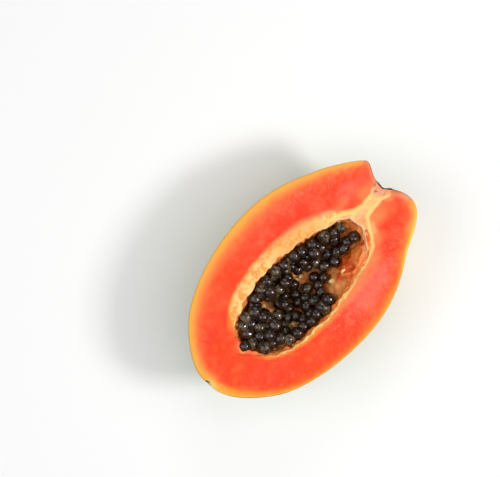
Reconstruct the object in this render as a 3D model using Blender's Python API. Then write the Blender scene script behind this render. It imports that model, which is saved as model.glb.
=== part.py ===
"""Half of a ripe papaya, cut lengthwise, lying on its rounded back with the cut face up.

Metres. X runs from the blossom end to the stem end, Y across the cut face and Z up. The origin
is on the surface that the fruit lies on, under the middle of its length and width.
"""

import math
import random
from collections import namedtuple

import bmesh
import bpy
import numpy as np
from mathutils import Matrix, Vector, kdtree

# Driving dimensions
LENGTH = 0.1589
HALF_WIDTH = 0.0503
FLAT_SPOT_DEPTH = 0.0006
RIB_COUNT = 5
RIB_HEIGHT = 0.0007
SEED_RADIUS = (0.0029, 0.0036)
SEED_LENGTHENING = 1.12
MOST_SEEDS = 150
SEED_GAP = 0.0010
LEAST_SEED_GAP = 0.0009

# An outline runs through knots: x from the blossom tip, reach from the long axis, the heading
# there in degrees, and how strongly the line keeps that heading before and after the knot.
Knot = namedtuple("Knot", "x reach heading before after")

LEFT_SIDE = (
    Knot(0.0009, 0.0, 90, 0.0, 0.0010),
    Knot(0.0, 0.0030, 90, 0.0010, 0.0115),
    Knot(0.0233, 0.0354, 34, 0.0124, 0.0057),
    Knot(0.0811, HALF_WIDTH, 0, 0.0318, 0.0265),
    Knot(0.1349, 0.0351, -26.5, 0.0169, 0.0062),
    Knot(0.1580, 0.0170, -90, 0.0033, 0.0049),
    Knot(0.1523, 0.0, -90, 0.0110, 0.0),
)
RIGHT_SIDE = (
    Knot(0.0009, 0.0, 90, 0.0, 0.0010),
    Knot(0.0, 0.0030, 90, 0.0010, 0.0136),
    Knot(0.0238, 0.0357, 35, 0.0091, 0.0077),
    Knot(0.0846, HALF_WIDTH, 0, 0.0334, 0.0283),
    Knot(0.1342, 0.0350, -23, 0.0056, 0.0143),
    Knot(0.1589, 0.0151, -90, 0.0107, 0.0082),
    Knot(0.1523, 0.0, -90, 0.0007, 0.0),
)
UNDERSIDE = (
    Knot(0.0009, 0.0, 90, 0.0, 0.0010),
    Knot(0.0, 0.0030, 90, 0.0010, 0.0125),
    Knot(0.0236, 0.0355, 34, 0.0108, 0.0067),
    Knot(0.0829, HALF_WIDTH, 0, 0.0326, 0.0274),
    Knot(0.1330, 0.0340, -34, 0.0150, 0.0080),
    Knot(0.1492, 0.0150, -72, 0.0080, 0.0060),
    Knot(0.1523, 0.0, -90, 0.0060, 0.0),
)
BODY_STEPS = (1, 7, 9, 7, 5, 5)
BODY_SEGMENTS = 40

CAVITY_LEFT = (
    Knot(0.0235, 0.0, 80, 0.0, 0.0040),
    Knot(0.0470, 0.0152, 15, 0.0130, 0.0080),
    Knot(0.0680, 0.0186, 0, 0.0080, 0.0140),
    Knot(0.1090, 0.0112, -19, 0.0140, 0.0080),
    Knot(0.1275, 0.0, -90, 0.0050, 0.0),
)
CAVITY_RIGHT = (
    Knot(0.0235, 0.0, 60, 0.0, 0.0060),
    Knot(0.0345, 0.0150, 52, 0.0060, 0.0070),
    Knot(0.0720, 0.0259, 0, 0.0190, 0.0140),
    Knot(0.1150, 0.0192, -20, 0.0130, 0.0060),
    Knot(0.1275, 0.0, -90, 0.0110, 0.0),
)
CAVITY_FLOOR = (
    Knot(0.0235, 0.0, 70, 0.0, 0.0060),
    Knot(0.0420, 0.0185, 30, 0.0080, 0.0080),
    Knot(0.0720, 0.0230, 0, 0.0120, 0.0120),
    Knot(0.1120, 0.0160, -25, 0.0130, 0.0060),
    Knot(0.1275, 0.0, -90, 0.0080, 0.0),
)
CAVITY_STEPS = (5, 5, 6, 5)
CAVITY_SEGMENTS = 32

# Patches of the cut face's plan: the middle, the half length and the half width.
Patch = namedtuple("Patch", "x y half_length half_width")
PULP_LEDGE = Patch(0.1090, -0.0180, 0.0200, 0.0075)
LEDGE_RISE = 0.6
BARE_PATCHES = (
    PULP_LEDGE,
    Patch(0.0820, 0.0008, 0.0030, 0.0010),
    Patch(0.0650, 0.0035, 0.0010, 0.0006),
    Patch(0.0545, 0.0060, 0.0002, 0.0008),
    Patch(0.1230, -0.0010, 0.0060, 0.0012),
    Patch(0.0590, -0.0155, 0.0014, 0.0006),
)

# Seeds lie against the wall, and two or three deep in the heap at the blossom end. Two that
# touch are CONTACT times their radii apart. Beyond the heap they form chains: the third nearest
# seed is at least LOOSE_GAP away. STRAY_SHARE of them lie on others instead of the wall.
HEAP_END = 0.0520
HEAP_SHARE = 0.7
STRAY_SHARE = 0.03
LOOSE_GAP = 0.0014
FIRST_SEED = (0.0450, -0.0096, -0.0200)
RANDOM_SEED = 27
CANDIDATES = 300
FRUITLESS_ROUNDS = 8
CONTACT = 0.87
SETTLING_PASSES = 5
CROWD = 3
WALL_SAMPLES = (150, 90)

# Each seed is a ball of few sides, its corners just outside the round seed.
BALL_SIDES = 7
BALL_RINGS = 4
BALL_SWELL = 1.05


def curve_point(start, end, t):
    """Point at t, from 0 to 1, of the smooth line between two knots, as (x, reach)."""
    leave = math.radians(start.heading)
    arrive = math.radians(end.heading)
    first = np.array((start.x, start.reach))
    last = np.array((end.x, end.reach))
    second = first + start.after * np.array((math.cos(leave), math.sin(leave)))
    third = last - end.before * np.array((math.cos(arrive), math.sin(arrive)))
    s = 1.0 - t
    return s**3 * first + 3 * s * s * t * second + 3 * s * t * t * third + t**3 * last


def outline(knots, steps):
    """Points (x, reach) through the knots, with the given number of steps between each two."""
    points = [np.array((knots[0].x, knots[0].reach))]
    for start, end, count in zip(knots[:-1], knots[1:], steps):
        points += [curve_point(start, end, step / count) for step in range(1, count + 1)]
    return np.array(points)


def section_point(left, right, floor, turn):
    """Point of a cross section; turn is 0 at the left (+Y), -90 degrees below, 180 at the right."""
    across = math.cos(turn)
    down = math.sin(turn)
    side = left * (1 + across) / 2 + right * (1 - across) / 2
    x = side[0] * across**2 + floor[0] * down**2
    return Vector((x, side[1] * across, floor[1] * down))


def lofted_sphere(lines, segments, shape):
    """A sphere whose rings follow the three lines, left, right and floor, then passed to shape."""
    rings = len(lines[0]) - 1
    mesh = bmesh.new()
    bmesh.ops.create_uvsphere(mesh, u_segments=segments, v_segments=rings, radius=1.0)
    for vert in mesh.verts:
        ring = round(math.acos(max(-1.0, min(1.0, vert.co.z))) / math.pi * rings)
        turn = math.atan2(vert.co.y, vert.co.x)
        left, right, floor = (line[ring] for line in lines)
        vert.co = shape(section_point(left, right, floor, turn), turn)
    bmesh.ops.recalc_face_normals(mesh, faces=mesh.faces)
    return mesh


def ribbed(point, turn):
    """The faint lengthwise ribs of the skin, which fade out towards the cut."""
    rib = -RIB_HEIGHT * math.sin(turn) ** 2 * math.cos(RIB_COUNT * (turn + math.pi / 2))
    swell = 1.0 + rib / HALF_WIDTH
    return Vector((point.x, point.y * swell, point.z * swell))


def inside_share(patch, x, y, margin=0.0):
    """0 in the middle of a patch widened by the margin, 1 at its edge and more outside it."""
    along = (x - patch.x) / (patch.half_length + margin)
    across = (y - patch.y) / (patch.half_width + margin)
    return math.hypot(along, across)


def with_ledge(point, _turn=0.0):
    """The cavity wall, raised at the ledge of pulp beside the stem end."""
    fade = max(0.0, 1.0 - inside_share(PULP_LEDGE, point.x, point.y) ** 2)
    return Vector((point.x, point.y, point.z * (1.0 - LEDGE_RISE * fade)))


def cut_flat(mesh, height, keep_below):
    """Cuts the mesh level at this height and closes it with a flat face."""
    geometry = mesh.verts[:] + mesh.edges[:] + mesh.faces[:]
    plane = {"plane_co": (0, 0, height), "plane_no": (0, 0, 1)}
    side = {"clear_outer": keep_below, "clear_inner": not keep_below}
    cut = bmesh.ops.bisect_plane(mesh, geom=geometry, dist=1e-7, **plane, **side)
    edges = [item for item in cut["geom_cut"] if isinstance(item, bmesh.types.BMEdge)]
    bmesh.ops.contextual_create(mesh, geom=edges)
    bmesh.ops.recalc_face_normals(mesh, faces=mesh.faces)


def add_object(mesh, name, collection, material=None):
    """Turns a bmesh into an object, smooth where its faces meet gently."""
    data = bpy.data.meshes.new(name)
    mesh.to_mesh(data)
    mesh.free()
    data.shade_smooth()
    data.set_sharp_from_angle(angle=math.radians(35))
    thing = bpy.data.objects.new(name, data)
    collection.objects.link(thing)
    if material:
        data.materials.append(material)
    return thing


def principled(name, colour, roughness):
    """A plain material of one colour."""
    material = bpy.data.materials.new(name)
    material.use_nodes = True
    shader = material.node_tree.nodes["Principled BSDF"]
    shader.inputs["Base Color"].default_value = (*colour, 1.0)
    shader.inputs["Roughness"].default_value = roughness
    shader.inputs["Metallic"].default_value = 0.0
    return material


def add_fruit_half(collection, cutters):
    """Flesh and skin, which grew as one, with the seed cavity. Returns the cut face's height."""
    sides = [outline(knots, BODY_STEPS) for knots in (LEFT_SIDE, RIGHT_SIDE, UNDERSIDE)]
    body = lofted_sphere(sides, BODY_SEGMENTS, ribbed)
    cut_flat(body, 0.0, keep_below=True)
    lift = -min(vert.co.z for vert in body.verts) - FLAT_SPOT_DEPTH
    cut_flat(body, -lift, keep_below=False)
    flesh = principled("papaya_flesh", (0.95, 0.16, 0.04), 0.45)
    fruit = add_object(body, "fruit_half", collection, flesh)

    lines = [outline(knots, CAVITY_STEPS) for knots in (CAVITY_LEFT, CAVITY_RIGHT, CAVITY_FLOOR)]
    cavity = add_object(lofted_sphere(lines, CAVITY_SEGMENTS, with_ledge), "cavity_cutter", cutters)
    cavity.hide_render = True
    cavity.display_type = "WIRE"

    hollow = fruit.modifiers.new("seed_cavity", "BOOLEAN")
    hollow.operation = "DIFFERENCE"
    hollow.object = cavity
    for thing in (fruit, cavity):
        thing.location = (-LENGTH / 2, 0.0, lift)
    return lift


def wall_samples():
    """Points spread over the cavity's wall, each with the direction from it into the cavity."""
    along, around = WALL_SAMPLES
    steps = (along // len(CAVITY_STEPS),) * len(CAVITY_STEPS)
    lines = [outline(knots, steps) for knots in (CAVITY_LEFT, CAVITY_RIGHT, CAVITY_FLOOR)]
    turns = [-math.pi * step / around for step in range(around + 1)]
    grid = [[with_ledge(section_point(*row, turn)) for turn in turns] for row in zip(*lines)]
    samples = []
    for before, here, after in zip(grid[:-2], grid[1:-1], grid[2:]):
        for place in range(1, around):
            lengthwise = after[place] - before[place]
            crosswise = here[place + 1] - here[place - 1]
            inward = crosswise.cross(lengthwise).normalized()
            samples.append((here[place], inward if inward.z > 0 else -inward))
    return samples


def bare(centre, radius):
    """Whether a seed here would cover one of the bare patches of the wall."""
    return any(inside_share(patch, centre.x, centre.y, radius) < 1.0 for patch in BARE_PATCHES)


class CavityWall:
    """The wall as a cloud of points, each with the direction from it into the cavity."""

    def __init__(self):
        self.samples = wall_samples()
        self.tree = kdtree.KDTree(len(self.samples))
        for index, (point, _) in enumerate(self.samples):
            self.tree.insert(point, index)
        self.tree.balance()

    def rest(self, centre, radius):
        """The centre moved so that a seed of this radius all but touches the wall."""
        point, inward = self.samples[self.tree.find(centre)[1]]
        return point + inward * (radius + SEED_GAP)

    def room(self, centre):
        """Distance from a centre to the wall, or less than 0 outside the cavity."""
        point, inward = self.samples[self.tree.find(centre)[1]]
        distance = (centre - point).length
        return distance if (centre - point).dot(inward) > 0 else -distance


def candidate(draw, wall, places):
    """A seed touching one that is already there, or None where it doesn't fit."""
    neighbour, reach = draw.choice(places)
    radius = draw.uniform(*SEED_RADIUS)
    centre = neighbour + Vector([draw.gauss(0, 1) for _ in range(3)]).normalized() * reach
    on_heap = draw.random() < (HEAP_SHARE if centre.x < HEAP_END else STRAY_SHARE)
    touching = CONTACT * (reach + radius)
    for _ in range(SETTLING_PASSES):
        if not on_heap:
            centre = wall.rest(centre, radius)
        centre = neighbour + (centre - neighbour).normalized() * touching
    if centre.z > -radius or bare(centre, radius) or wall.room(centre) < radius + LEAST_SEED_GAP:
        return None
    gaps = sorted((centre - other).length - CONTACT * (radius + size) for other, size in places)
    crowded = centre.x > HEAP_END and len(gaps) > 2 and gaps[2] < LOOSE_GAP
    if gaps[0] < -1e-6 or crowded:
        return None
    return sum(gaps[:CROWD]), centre, radius


def seed_places():
    """(centre, radius) of each seed, heaped at the blossom end and in loose chains beyond."""
    draw = random.Random(RANDOM_SEED)
    wall = CavityWall()
    radius = SEED_RADIUS[1]
    places = [(wall.rest(Vector(FIRST_SEED), radius), radius)]
    fruitless = 0
    while len(places) < MOST_SEEDS and fruitless < FRUITLESS_ROUNDS:
        found = [candidate(draw, wall, places) for _ in range(CANDIDATES)]
        found = [item for item in found if item]
        if found:
            heaped = [item for item in found if item[1].x < HEAP_END]
            chosen = min(heaped, key=lambda item: item[0]) if heaped else found[0]
            places.append(chosen[1:])
        fruitless = 0 if found else fruitless + 1
    return places


def seed_placings():
    """The matrix that places each seed, a little longer one way, which is turned at random."""
    draw = random.Random(RANDOM_SEED + 1)
    placings = []
    for centre, radius in seed_places():
        axis = Vector([draw.gauss(0, 1) for _ in range(3)])
        turn = axis.to_track_quat("Z", "Y").to_matrix().to_4x4()
        size = Matrix.Diagonal((radius, radius, radius * SEED_LENGTHENING, 1.0))
        placings.append(Matrix.Translation(centre) @ turn @ size)
    return placings


def islands(mesh):
    """The sets of faces that hang together."""
    left = set(mesh.faces)
    while left:
        start = left.pop()
        island = {start}
        front = [start]
        while front:
            near = {face for edge in front.pop().edges for face in edge.link_faces} & left
            left -= near
            island |= near
            front += near
        yield island


def without_sealed_hollows(data):
    """Fills the hollows that the fused balls close off, by keeping only the outer skin."""
    mesh = bmesh.new()
    mesh.from_mesh(data)
    outer = max(islands(mesh), key=len)
    inner = [face for face in mesh.faces if face not in outer]
    bmesh.ops.delete(mesh, geom=inner, context="FACES")
    return mesh


def add_seeds(collection, lift):
    """The dark seeds, which hold together as one body."""
    loose = bpy.data.collections.new("loose_seeds")
    bpy.context.scene.collection.children.link(loose)
    dark = principled("papaya_seeds", (0.02, 0.015, 0.012), 0.2)
    balls = []
    sides = {"u_segments": BALL_SIDES, "v_segments": BALL_RINGS}
    for index, placing in enumerate(seed_placings()):
        mesh = bmesh.new()
        bmesh.ops.create_uvsphere(mesh, radius=BALL_SWELL, matrix=placing, **sides)
        balls.append(add_object(mesh, f"seed_{index}", loose, dark))

    first = balls[0]
    joined = first.modifiers.new("joined", "BOOLEAN")
    joined.operation = "UNION"
    joined.operand_type = "COLLECTION"
    joined.solver = "EXACT"
    loose.objects.unlink(first)
    collection.objects.link(first)
    joined.collection = loose
    bpy.context.view_layer.update()
    graph = bpy.context.evaluated_depsgraph_get()
    fused = bpy.data.meshes.new_from_object(first.evaluated_get(graph))
    seeds = add_object(without_sealed_hollows(fused), "seeds", collection, dark)
    seeds.location = (-LENGTH / 2, 0.0, lift)
    for ball in balls:
        bpy.data.objects.remove(ball)
    bpy.data.collections.remove(loose)


def main():
    """Clears the scene and builds the half fruit with its seeds."""
    for thing in list(bpy.data.objects):
        bpy.data.objects.remove(thing)
    collection = bpy.data.collections.new("papaya_half")
    cutters = bpy.data.collections.new("cutters")
    for group in (collection, cutters):
        bpy.context.scene.collection.children.link(group)
    lift = add_fruit_half(collection, cutters)
    add_seeds(collection, lift)


main()
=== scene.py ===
"""Visual model of half a ripe papaya, cut lengthwise, with dark seeds in its open cavity.

It lies on its rounded back with the cut face up. Metres, in the row frame: X runs from the
blossom end to the stem end, Y across the cut face and Z up. Shapes are worked out in the
profile frame, where x starts at the blossom tip and z is 0 at the cut face.
"""

import logging
import math
import random
from collections.abc import Callable, Sequence
from dataclasses import dataclass, field
from enum import Enum, IntEnum
from functools import reduce
from typing import NamedTuple

import bmesh
import bpy
import numpy as np
from mathutils import Matrix, Vector, kdtree, noise


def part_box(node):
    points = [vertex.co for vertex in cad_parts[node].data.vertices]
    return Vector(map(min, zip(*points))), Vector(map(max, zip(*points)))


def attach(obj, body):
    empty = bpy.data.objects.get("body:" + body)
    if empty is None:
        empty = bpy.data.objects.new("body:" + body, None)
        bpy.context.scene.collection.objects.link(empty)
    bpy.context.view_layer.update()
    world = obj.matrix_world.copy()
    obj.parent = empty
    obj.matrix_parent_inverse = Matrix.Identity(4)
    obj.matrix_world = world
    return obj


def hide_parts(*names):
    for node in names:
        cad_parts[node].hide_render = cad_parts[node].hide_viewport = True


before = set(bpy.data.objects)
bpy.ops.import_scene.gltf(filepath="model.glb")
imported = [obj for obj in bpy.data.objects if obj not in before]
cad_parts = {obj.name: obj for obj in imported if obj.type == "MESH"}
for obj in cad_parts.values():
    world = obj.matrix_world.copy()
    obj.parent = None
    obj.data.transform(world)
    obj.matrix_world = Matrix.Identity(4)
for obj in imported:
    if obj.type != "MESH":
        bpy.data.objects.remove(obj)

LOG = logging.getLogger("papaya")
MM = 0.001

# Driving dimensions, as in the source
LENGTH = 0.1589
HALF_WIDTH = 0.0503
RIB_COUNT = 5
RIB_HEIGHT = 0.0007
SEED_RADIUS = (0.0029, 0.0036)
SEED_LENGTHENING = 1.12
MOST_SEEDS = 150
SEED_GAP = 0.0010
LEAST_SEED_GAP = 0.0009

FACE_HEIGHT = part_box("fruit_half")[1].z
TO_ROW_FRAME = Vector((-LENGTH / 2, 0.0, FACE_HEIGHT))


class Knot(NamedTuple):
    """A point that an outline runs through, and how it passes."""

    x: float
    reach: float
    heading: float
    before: float
    after: float


class Patch(NamedTuple):
    """An oval of the cut face's plan."""

    x: float
    y: float
    half_length: float
    half_width: float


LEFT_SIDE = (
    Knot(0.0009, 0.0, 90, 0.0, 0.0010),
    Knot(0.0, 0.0030, 90, 0.0010, 0.0115),
    Knot(0.0233, 0.0354, 34, 0.0124, 0.0057),
    Knot(0.0811, HALF_WIDTH, 0, 0.0318, 0.0265),
    Knot(0.1349, 0.0351, -26.5, 0.0169, 0.0062),
    Knot(0.1580, 0.0170, -90, 0.0033, 0.0049),
    Knot(0.1523, 0.0, -90, 0.0110, 0.0),
)
RIGHT_SIDE = (
    Knot(0.0009, 0.0, 90, 0.0, 0.0010),
    Knot(0.0, 0.0030, 90, 0.0010, 0.0136),
    Knot(0.0238, 0.0357, 35, 0.0091, 0.0077),
    Knot(0.0846, HALF_WIDTH, 0, 0.0334, 0.0283),
    Knot(0.1342, 0.0350, -23, 0.0056, 0.0143),
    Knot(0.1589, 0.0151, -90, 0.0107, 0.0082),
    Knot(0.1523, 0.0, -90, 0.0007, 0.0),
)
UNDERSIDE = (
    Knot(0.0009, 0.0, 90, 0.0, 0.0010),
    Knot(0.0, 0.0030, 90, 0.0010, 0.0125),
    Knot(0.0236, 0.0355, 34, 0.0108, 0.0067),
    Knot(0.0829, HALF_WIDTH, 0, 0.0326, 0.0274),
    Knot(0.1330, 0.0340, -34, 0.0150, 0.0080),
    Knot(0.1492, 0.0150, -72, 0.0080, 0.0060),
    Knot(0.1523, 0.0, -90, 0.0060, 0.0),
)
CAVITY_LEFT = (
    Knot(0.0235, 0.0, 80, 0.0, 0.0040),
    Knot(0.0470, 0.0152, 15, 0.0130, 0.0080),
    Knot(0.0680, 0.0186, 0, 0.0080, 0.0140),
    Knot(0.1090, 0.0112, -19, 0.0140, 0.0080),
    Knot(0.1275, 0.0, -90, 0.0050, 0.0),
)
CAVITY_RIGHT = (
    Knot(0.0235, 0.0, 60, 0.0, 0.0060),
    Knot(0.0345, 0.0150, 52, 0.0060, 0.0070),
    Knot(0.0720, 0.0259, 0, 0.0190, 0.0140),
    Knot(0.1150, 0.0192, -20, 0.0130, 0.0060),
    Knot(0.1275, 0.0, -90, 0.0110, 0.0),
)
CAVITY_FLOOR = (
    Knot(0.0235, 0.0, 70, 0.0, 0.0060),
    Knot(0.0420, 0.0185, 30, 0.0080, 0.0080),
    Knot(0.0720, 0.0230, 0, 0.0120, 0.0120),
    Knot(0.1120, 0.0160, -25, 0.0130, 0.0060),
    Knot(0.1275, 0.0, -90, 0.0080, 0.0),
)
CAVITY_PARTS = 4

PULP_LEDGE = Patch(0.1090, -0.0180, 0.0200, 0.0075)
LEDGE_RISE = 0.6
BARE_PATCHES = (
    PULP_LEDGE,
    Patch(0.0820, 0.0008, 0.0030, 0.0010),
    Patch(0.0650, 0.0035, 0.0010, 0.0006),
    Patch(0.0545, 0.0060, 0.0002, 0.0008),
    Patch(0.1230, -0.0010, 0.0060, 0.0012),
    Patch(0.0590, -0.0155, 0.0014, 0.0006),
)

# How the seeds grow against each other, as in the source
HEAP_END = 0.0520
HEAP_SHARE = 0.7
STRAY_SHARE = 0.03
LOOSE_GAP = 0.0014
FIRST_SEED = (0.0450, -0.0096, -0.0200)
RANDOM_SEED = 27
CANDIDATES = 300
FRUITLESS_ROUNDS = 8
CONTACT = 0.87
SETTLING_PASSES = 5
CROWD = 3
WALL_SAMPLES = (150, 90)


# Outlines and sections


def curve_point(start: Knot, end: Knot, t: float) -> np.ndarray:
    """Point at t, from 0 to 1, of the smooth line between two knots, as (x, reach).

    Args:
        start: the knot that the line leaves.
        end: the knot that it reaches.
        t: how far along the point is, from 0 to 1.

    Returns:
        The point.
    """
    leave = math.radians(start.heading)
    arrive = math.radians(end.heading)
    first = np.array((start.x, start.reach))
    last = np.array((end.x, end.reach))
    second = first + start.after * np.array((math.cos(leave), math.sin(leave)))
    third = last - end.before * np.array((math.cos(arrive), math.sin(arrive)))
    s = 1.0 - t
    return s**3 * first + 3 * s * s * t * second + 3 * s * t * t * third + t**3 * last


def outline(knots: Sequence[Knot], steps: Sequence[int]) -> np.ndarray:
    """Points (x, reach) through the knots, with the given number of steps between each two.

    Args:
        knots: the knots in order.
        steps: the number of steps from each knot to the next.

    Returns:
        One row for each point.
    """
    points = [np.array((knots[0].x, knots[0].reach))]
    for start, end, count in zip(knots[:-1], knots[1:], steps):
        points += [curve_point(start, end, step / count) for step in range(1, count + 1)]
    return np.array(points)


def section_point(left: np.ndarray, right: np.ndarray, floor: np.ndarray, turn: float) -> Vector:
    """Point of a cross section; turn is 0 at the left (+Y), -90 degrees below, 180 at the right.

    Args:
        left: (x, reach) of the section on the left.
        right: the same on the right.
        floor: the same below.
        turn: the angle, in radians.

    Returns:
        The point.
    """
    across = math.cos(turn)
    down = math.sin(turn)
    side = left * (1 + across) / 2 + right * (1 - across) / 2
    x = side[0] * across**2 + floor[0] * down**2
    return Vector((x, side[1] * across, floor[1] * down))


def ribbed(point: Vector, turn: float) -> Vector:
    """The faint lengthwise ribs of the skin, which fade out towards the cut.

    Args:
        point: a point of the plain skin.
        turn: its angle round the long axis.

    Returns:
        The point with its rib.
    """
    rib = -RIB_HEIGHT * math.sin(turn) ** 2 * math.cos(RIB_COUNT * (turn + math.pi / 2))
    swell = 1.0 + rib / HALF_WIDTH
    return Vector((point.x, point.y * swell, point.z * swell))


def inside_share(patch: Patch, x: float, y: float, margin: float = 0.0) -> float:
    """0 in the middle of a patch widened by the margin, 1 at its edge and more outside it.

    Args:
        patch: the oval.
        x: how far along the place is.
        y: how far across it is.
        margin: how much wider and longer the oval is taken to be.

    Returns:
        The share.
    """
    along = (x - patch.x) / (patch.half_length + margin)
    across = (y - patch.y) / (patch.half_width + margin)
    return math.hypot(along, across)


def with_ledge(point: Vector, _turn: float = 0.0) -> Vector:
    """The cavity wall, raised at the ledge of pulp beside the stem end."""
    fade = max(0.0, 1.0 - inside_share(PULP_LEDGE, point.x, point.y) ** 2)
    return Vector((point.x, point.y, point.z * (1.0 - LEDGE_RISE * fade)))


@dataclass(frozen=True)
class Loft:
    """Three lines, left, right and floor, that a rounded form follows from end to end."""

    left: np.ndarray
    right: np.ndarray
    floor: np.ndarray

    def evenly(self, count: int) -> "Loft":
        """The same lines in this many steps, as even as their mean line allows.

        Args:
            count: the number of steps.

        Returns:
            A form with count + 1 sections.
        """
        mean = (self.left + self.right) / 2
        travelled = np.concatenate(([0.0], np.cumsum(np.linalg.norm(np.diff(mean, axis=0), axis=1))))
        wanted = np.linspace(0.0, travelled[-1], count + 1)
        lines = (self.left, self.right, self.floor)
        even = [
            np.stack([np.interp(wanted, travelled, line[:, axis]) for axis in (0, 1)], axis=1)
            for line in lines
        ]
        return Loft(*even)

    def grid(self, turns: Sequence[float], shape: Callable) -> np.ndarray:
        """Points of every section at every turn, passed through shape."""
        rows = zip(self.left, self.right, self.floor)
        return np.array([[shape(section_point(*row, turn), turn) for turn in turns] for row in rows])

    def rim(self, side: int) -> np.ndarray:
        """The line that the form follows in the plane of the cut, as (x, y); side is 1 or -1."""
        line = self.left if side > 0 else self.right
        return line * (1.0, side)

    def loop(self) -> np.ndarray:
        """Both rims, out along the left and back along the right."""
        return np.concatenate((self.rim(1), self.rim(-1)[::-1]))


def loft(knot_rows: Sequence[Sequence[Knot]], count: int) -> Loft:
    """The form that follows the left, right and floor knots, in this many rings."""
    return Loft(*[outline(knots, (60,) * (len(knots) - 1)) for knots in knot_rows]).evenly(count)


# The rule that places the seeds, the same as in the source


def search_tree(points: Sequence) -> kdtree.KDTree:
    """The points sorted for searching, each under its number.

    Args:
        points: the points.

    Returns:
        The tree.
    """
    tree = kdtree.KDTree(len(points))
    for index, point in enumerate(points):
        tree.insert(point, index)
    tree.balance()
    return tree


def wall_samples() -> list[tuple[Vector, Vector]]:
    """Points spread over the cavity's wall, each with the direction from it into the cavity.

    Returns:
        The pairs of point and direction.
    """
    along, around = WALL_SAMPLES
    steps = (along // CAVITY_PARTS,) * CAVITY_PARTS
    lines = [outline(knots, steps) for knots in (CAVITY_LEFT, CAVITY_RIGHT, CAVITY_FLOOR)]
    turns = [-math.pi * step / around for step in range(around + 1)]
    grid = [[with_ledge(section_point(*row, turn)) for turn in turns] for row in zip(*lines)]
    samples = []
    for before, here, after in zip(grid[:-2], grid[1:-1], grid[2:]):
        for place in range(1, around):
            lengthwise = after[place] - before[place]
            crosswise = here[place + 1] - here[place - 1]
            inward = crosswise.cross(lengthwise).normalized()
            samples.append((here[place], inward if inward.z > 0 else -inward))
    return samples


def bare(centre: Vector, radius: float) -> bool:
    """Whether a seed here would cover one of the bare patches of the wall."""
    return any(inside_share(patch, centre.x, centre.y, radius) < 1.0 for patch in BARE_PATCHES)


class CavityWall:
    """The wall as a cloud of points, each with the direction from it into the cavity."""

    def __init__(self) -> None:
        """Samples the wall and sorts the points for searching."""
        self.samples = wall_samples()
        self.tree = search_tree([point for point, _ in self.samples])

    def nearest(self, centre: Vector) -> tuple[Vector, Vector]:
        """The wall's point nearest to a centre, and the direction into the cavity there."""
        return self.samples[self.tree.find(centre)[1]]

    def rest(self, centre: Vector, radius: float) -> Vector:
        """The centre moved so that a seed of this radius all but touches the wall."""
        point, inward = self.nearest(centre)
        return point + inward * (radius + SEED_GAP)

    def room(self, centre: Vector) -> float:
        """Distance from a centre to the wall, or less than 0 outside the cavity.

        Args:
            centre: the middle of a seed.

        Returns:
            The distance.
        """
        point, inward = self.nearest(centre)
        distance = (centre - point).length
        return distance if (centre - point).dot(inward) > 0 else -distance


Ball = tuple[Vector, float]


def candidate(
    draw: random.Random, wall: CavityWall, places: list[Ball]
) -> tuple[float, Vector, float] | None:
    """A seed touching one that is already there, or None where it doesn't fit.

    Args:
        draw: the source of random numbers.
        wall: the cavity's wall.
        places: (centre, radius) of the seeds so far.

    Returns:
        How far it is from its neighbours, its centre and its radius.
    """
    neighbour, reach = draw.choice(places)
    radius = draw.uniform(*SEED_RADIUS)
    centre = neighbour + Vector([draw.gauss(0, 1) for _ in range(3)]).normalized() * reach
    on_heap = draw.random() < (HEAP_SHARE if centre.x < HEAP_END else STRAY_SHARE)
    touching = CONTACT * (reach + radius)
    for _ in range(SETTLING_PASSES):
        if not on_heap:
            centre = wall.rest(centre, radius)
        centre = neighbour + (centre - neighbour).normalized() * touching
    if centre.z > -radius or bare(centre, radius) or wall.room(centre) < radius + LEAST_SEED_GAP:
        return None
    gaps = sorted((centre - other).length - CONTACT * (radius + size) for other, size in places)
    crowded = centre.x > HEAP_END and len(gaps) > 2 and gaps[2] < LOOSE_GAP
    if gaps[0] < -1e-6 or crowded:
        return None
    return sum(gaps[:CROWD]), centre, radius


class Seed(NamedTuple):
    """One seed: its middle, its radius and the matrix that places a ball of radius 1 as it."""

    centre: Vector
    radius: float
    placing: Matrix


def seed_places(wall: CavityWall) -> list[Ball]:
    """(centre, radius) of each seed, heaped at the blossom end and in loose chains beyond.

    Args:
        wall: the cavity's wall.

    Returns:
        The seeds in the order in which they grew.
    """
    draw = random.Random(RANDOM_SEED)
    radius = SEED_RADIUS[1]
    places = [(wall.rest(Vector(FIRST_SEED), radius), radius)]
    fruitless = 0
    while len(places) < MOST_SEEDS and fruitless < FRUITLESS_ROUNDS:
        found = [candidate(draw, wall, places) for _ in range(CANDIDATES)]
        found = [item for item in found if item]
        if found:
            heaped = [item for item in found if item[1].x < HEAP_END]
            chosen = min(heaped, key=lambda item: item[0]) if heaped else found[0]
            places.append(chosen[1:])
        fruitless = 0 if found else fruitless + 1
    return places


def grown_seeds(wall: CavityWall) -> list[Seed]:
    """All seeds, each a little longer one way, which is turned at random.

    Args:
        wall: the cavity's wall.

    Returns:
        The seeds.
    """
    draw = random.Random(RANDOM_SEED + 1)
    seeds = []
    for centre, radius in seed_places(wall):
        axis = Vector([draw.gauss(0, 1) for _ in range(3)])
        turn = axis.to_track_quat("Z", "Y").to_matrix().to_4x4()
        size = Matrix.Diagonal((radius, radius, radius * SEED_LENGTHENING, 1.0))
        seeds.append(Seed(centre, radius, Matrix.Translation(centre) @ turn @ size))
    return seeds


# Measures over many points at once


def smooth(value: np.ndarray, low: float, high: float) -> np.ndarray:
    """0 at low, 1 at high, eased at both ends; low may be above high."""
    share = np.clip((value - low) / (high - low), 0.0, 1.0)
    return share * share * (3.0 - 2.0 * share)


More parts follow.
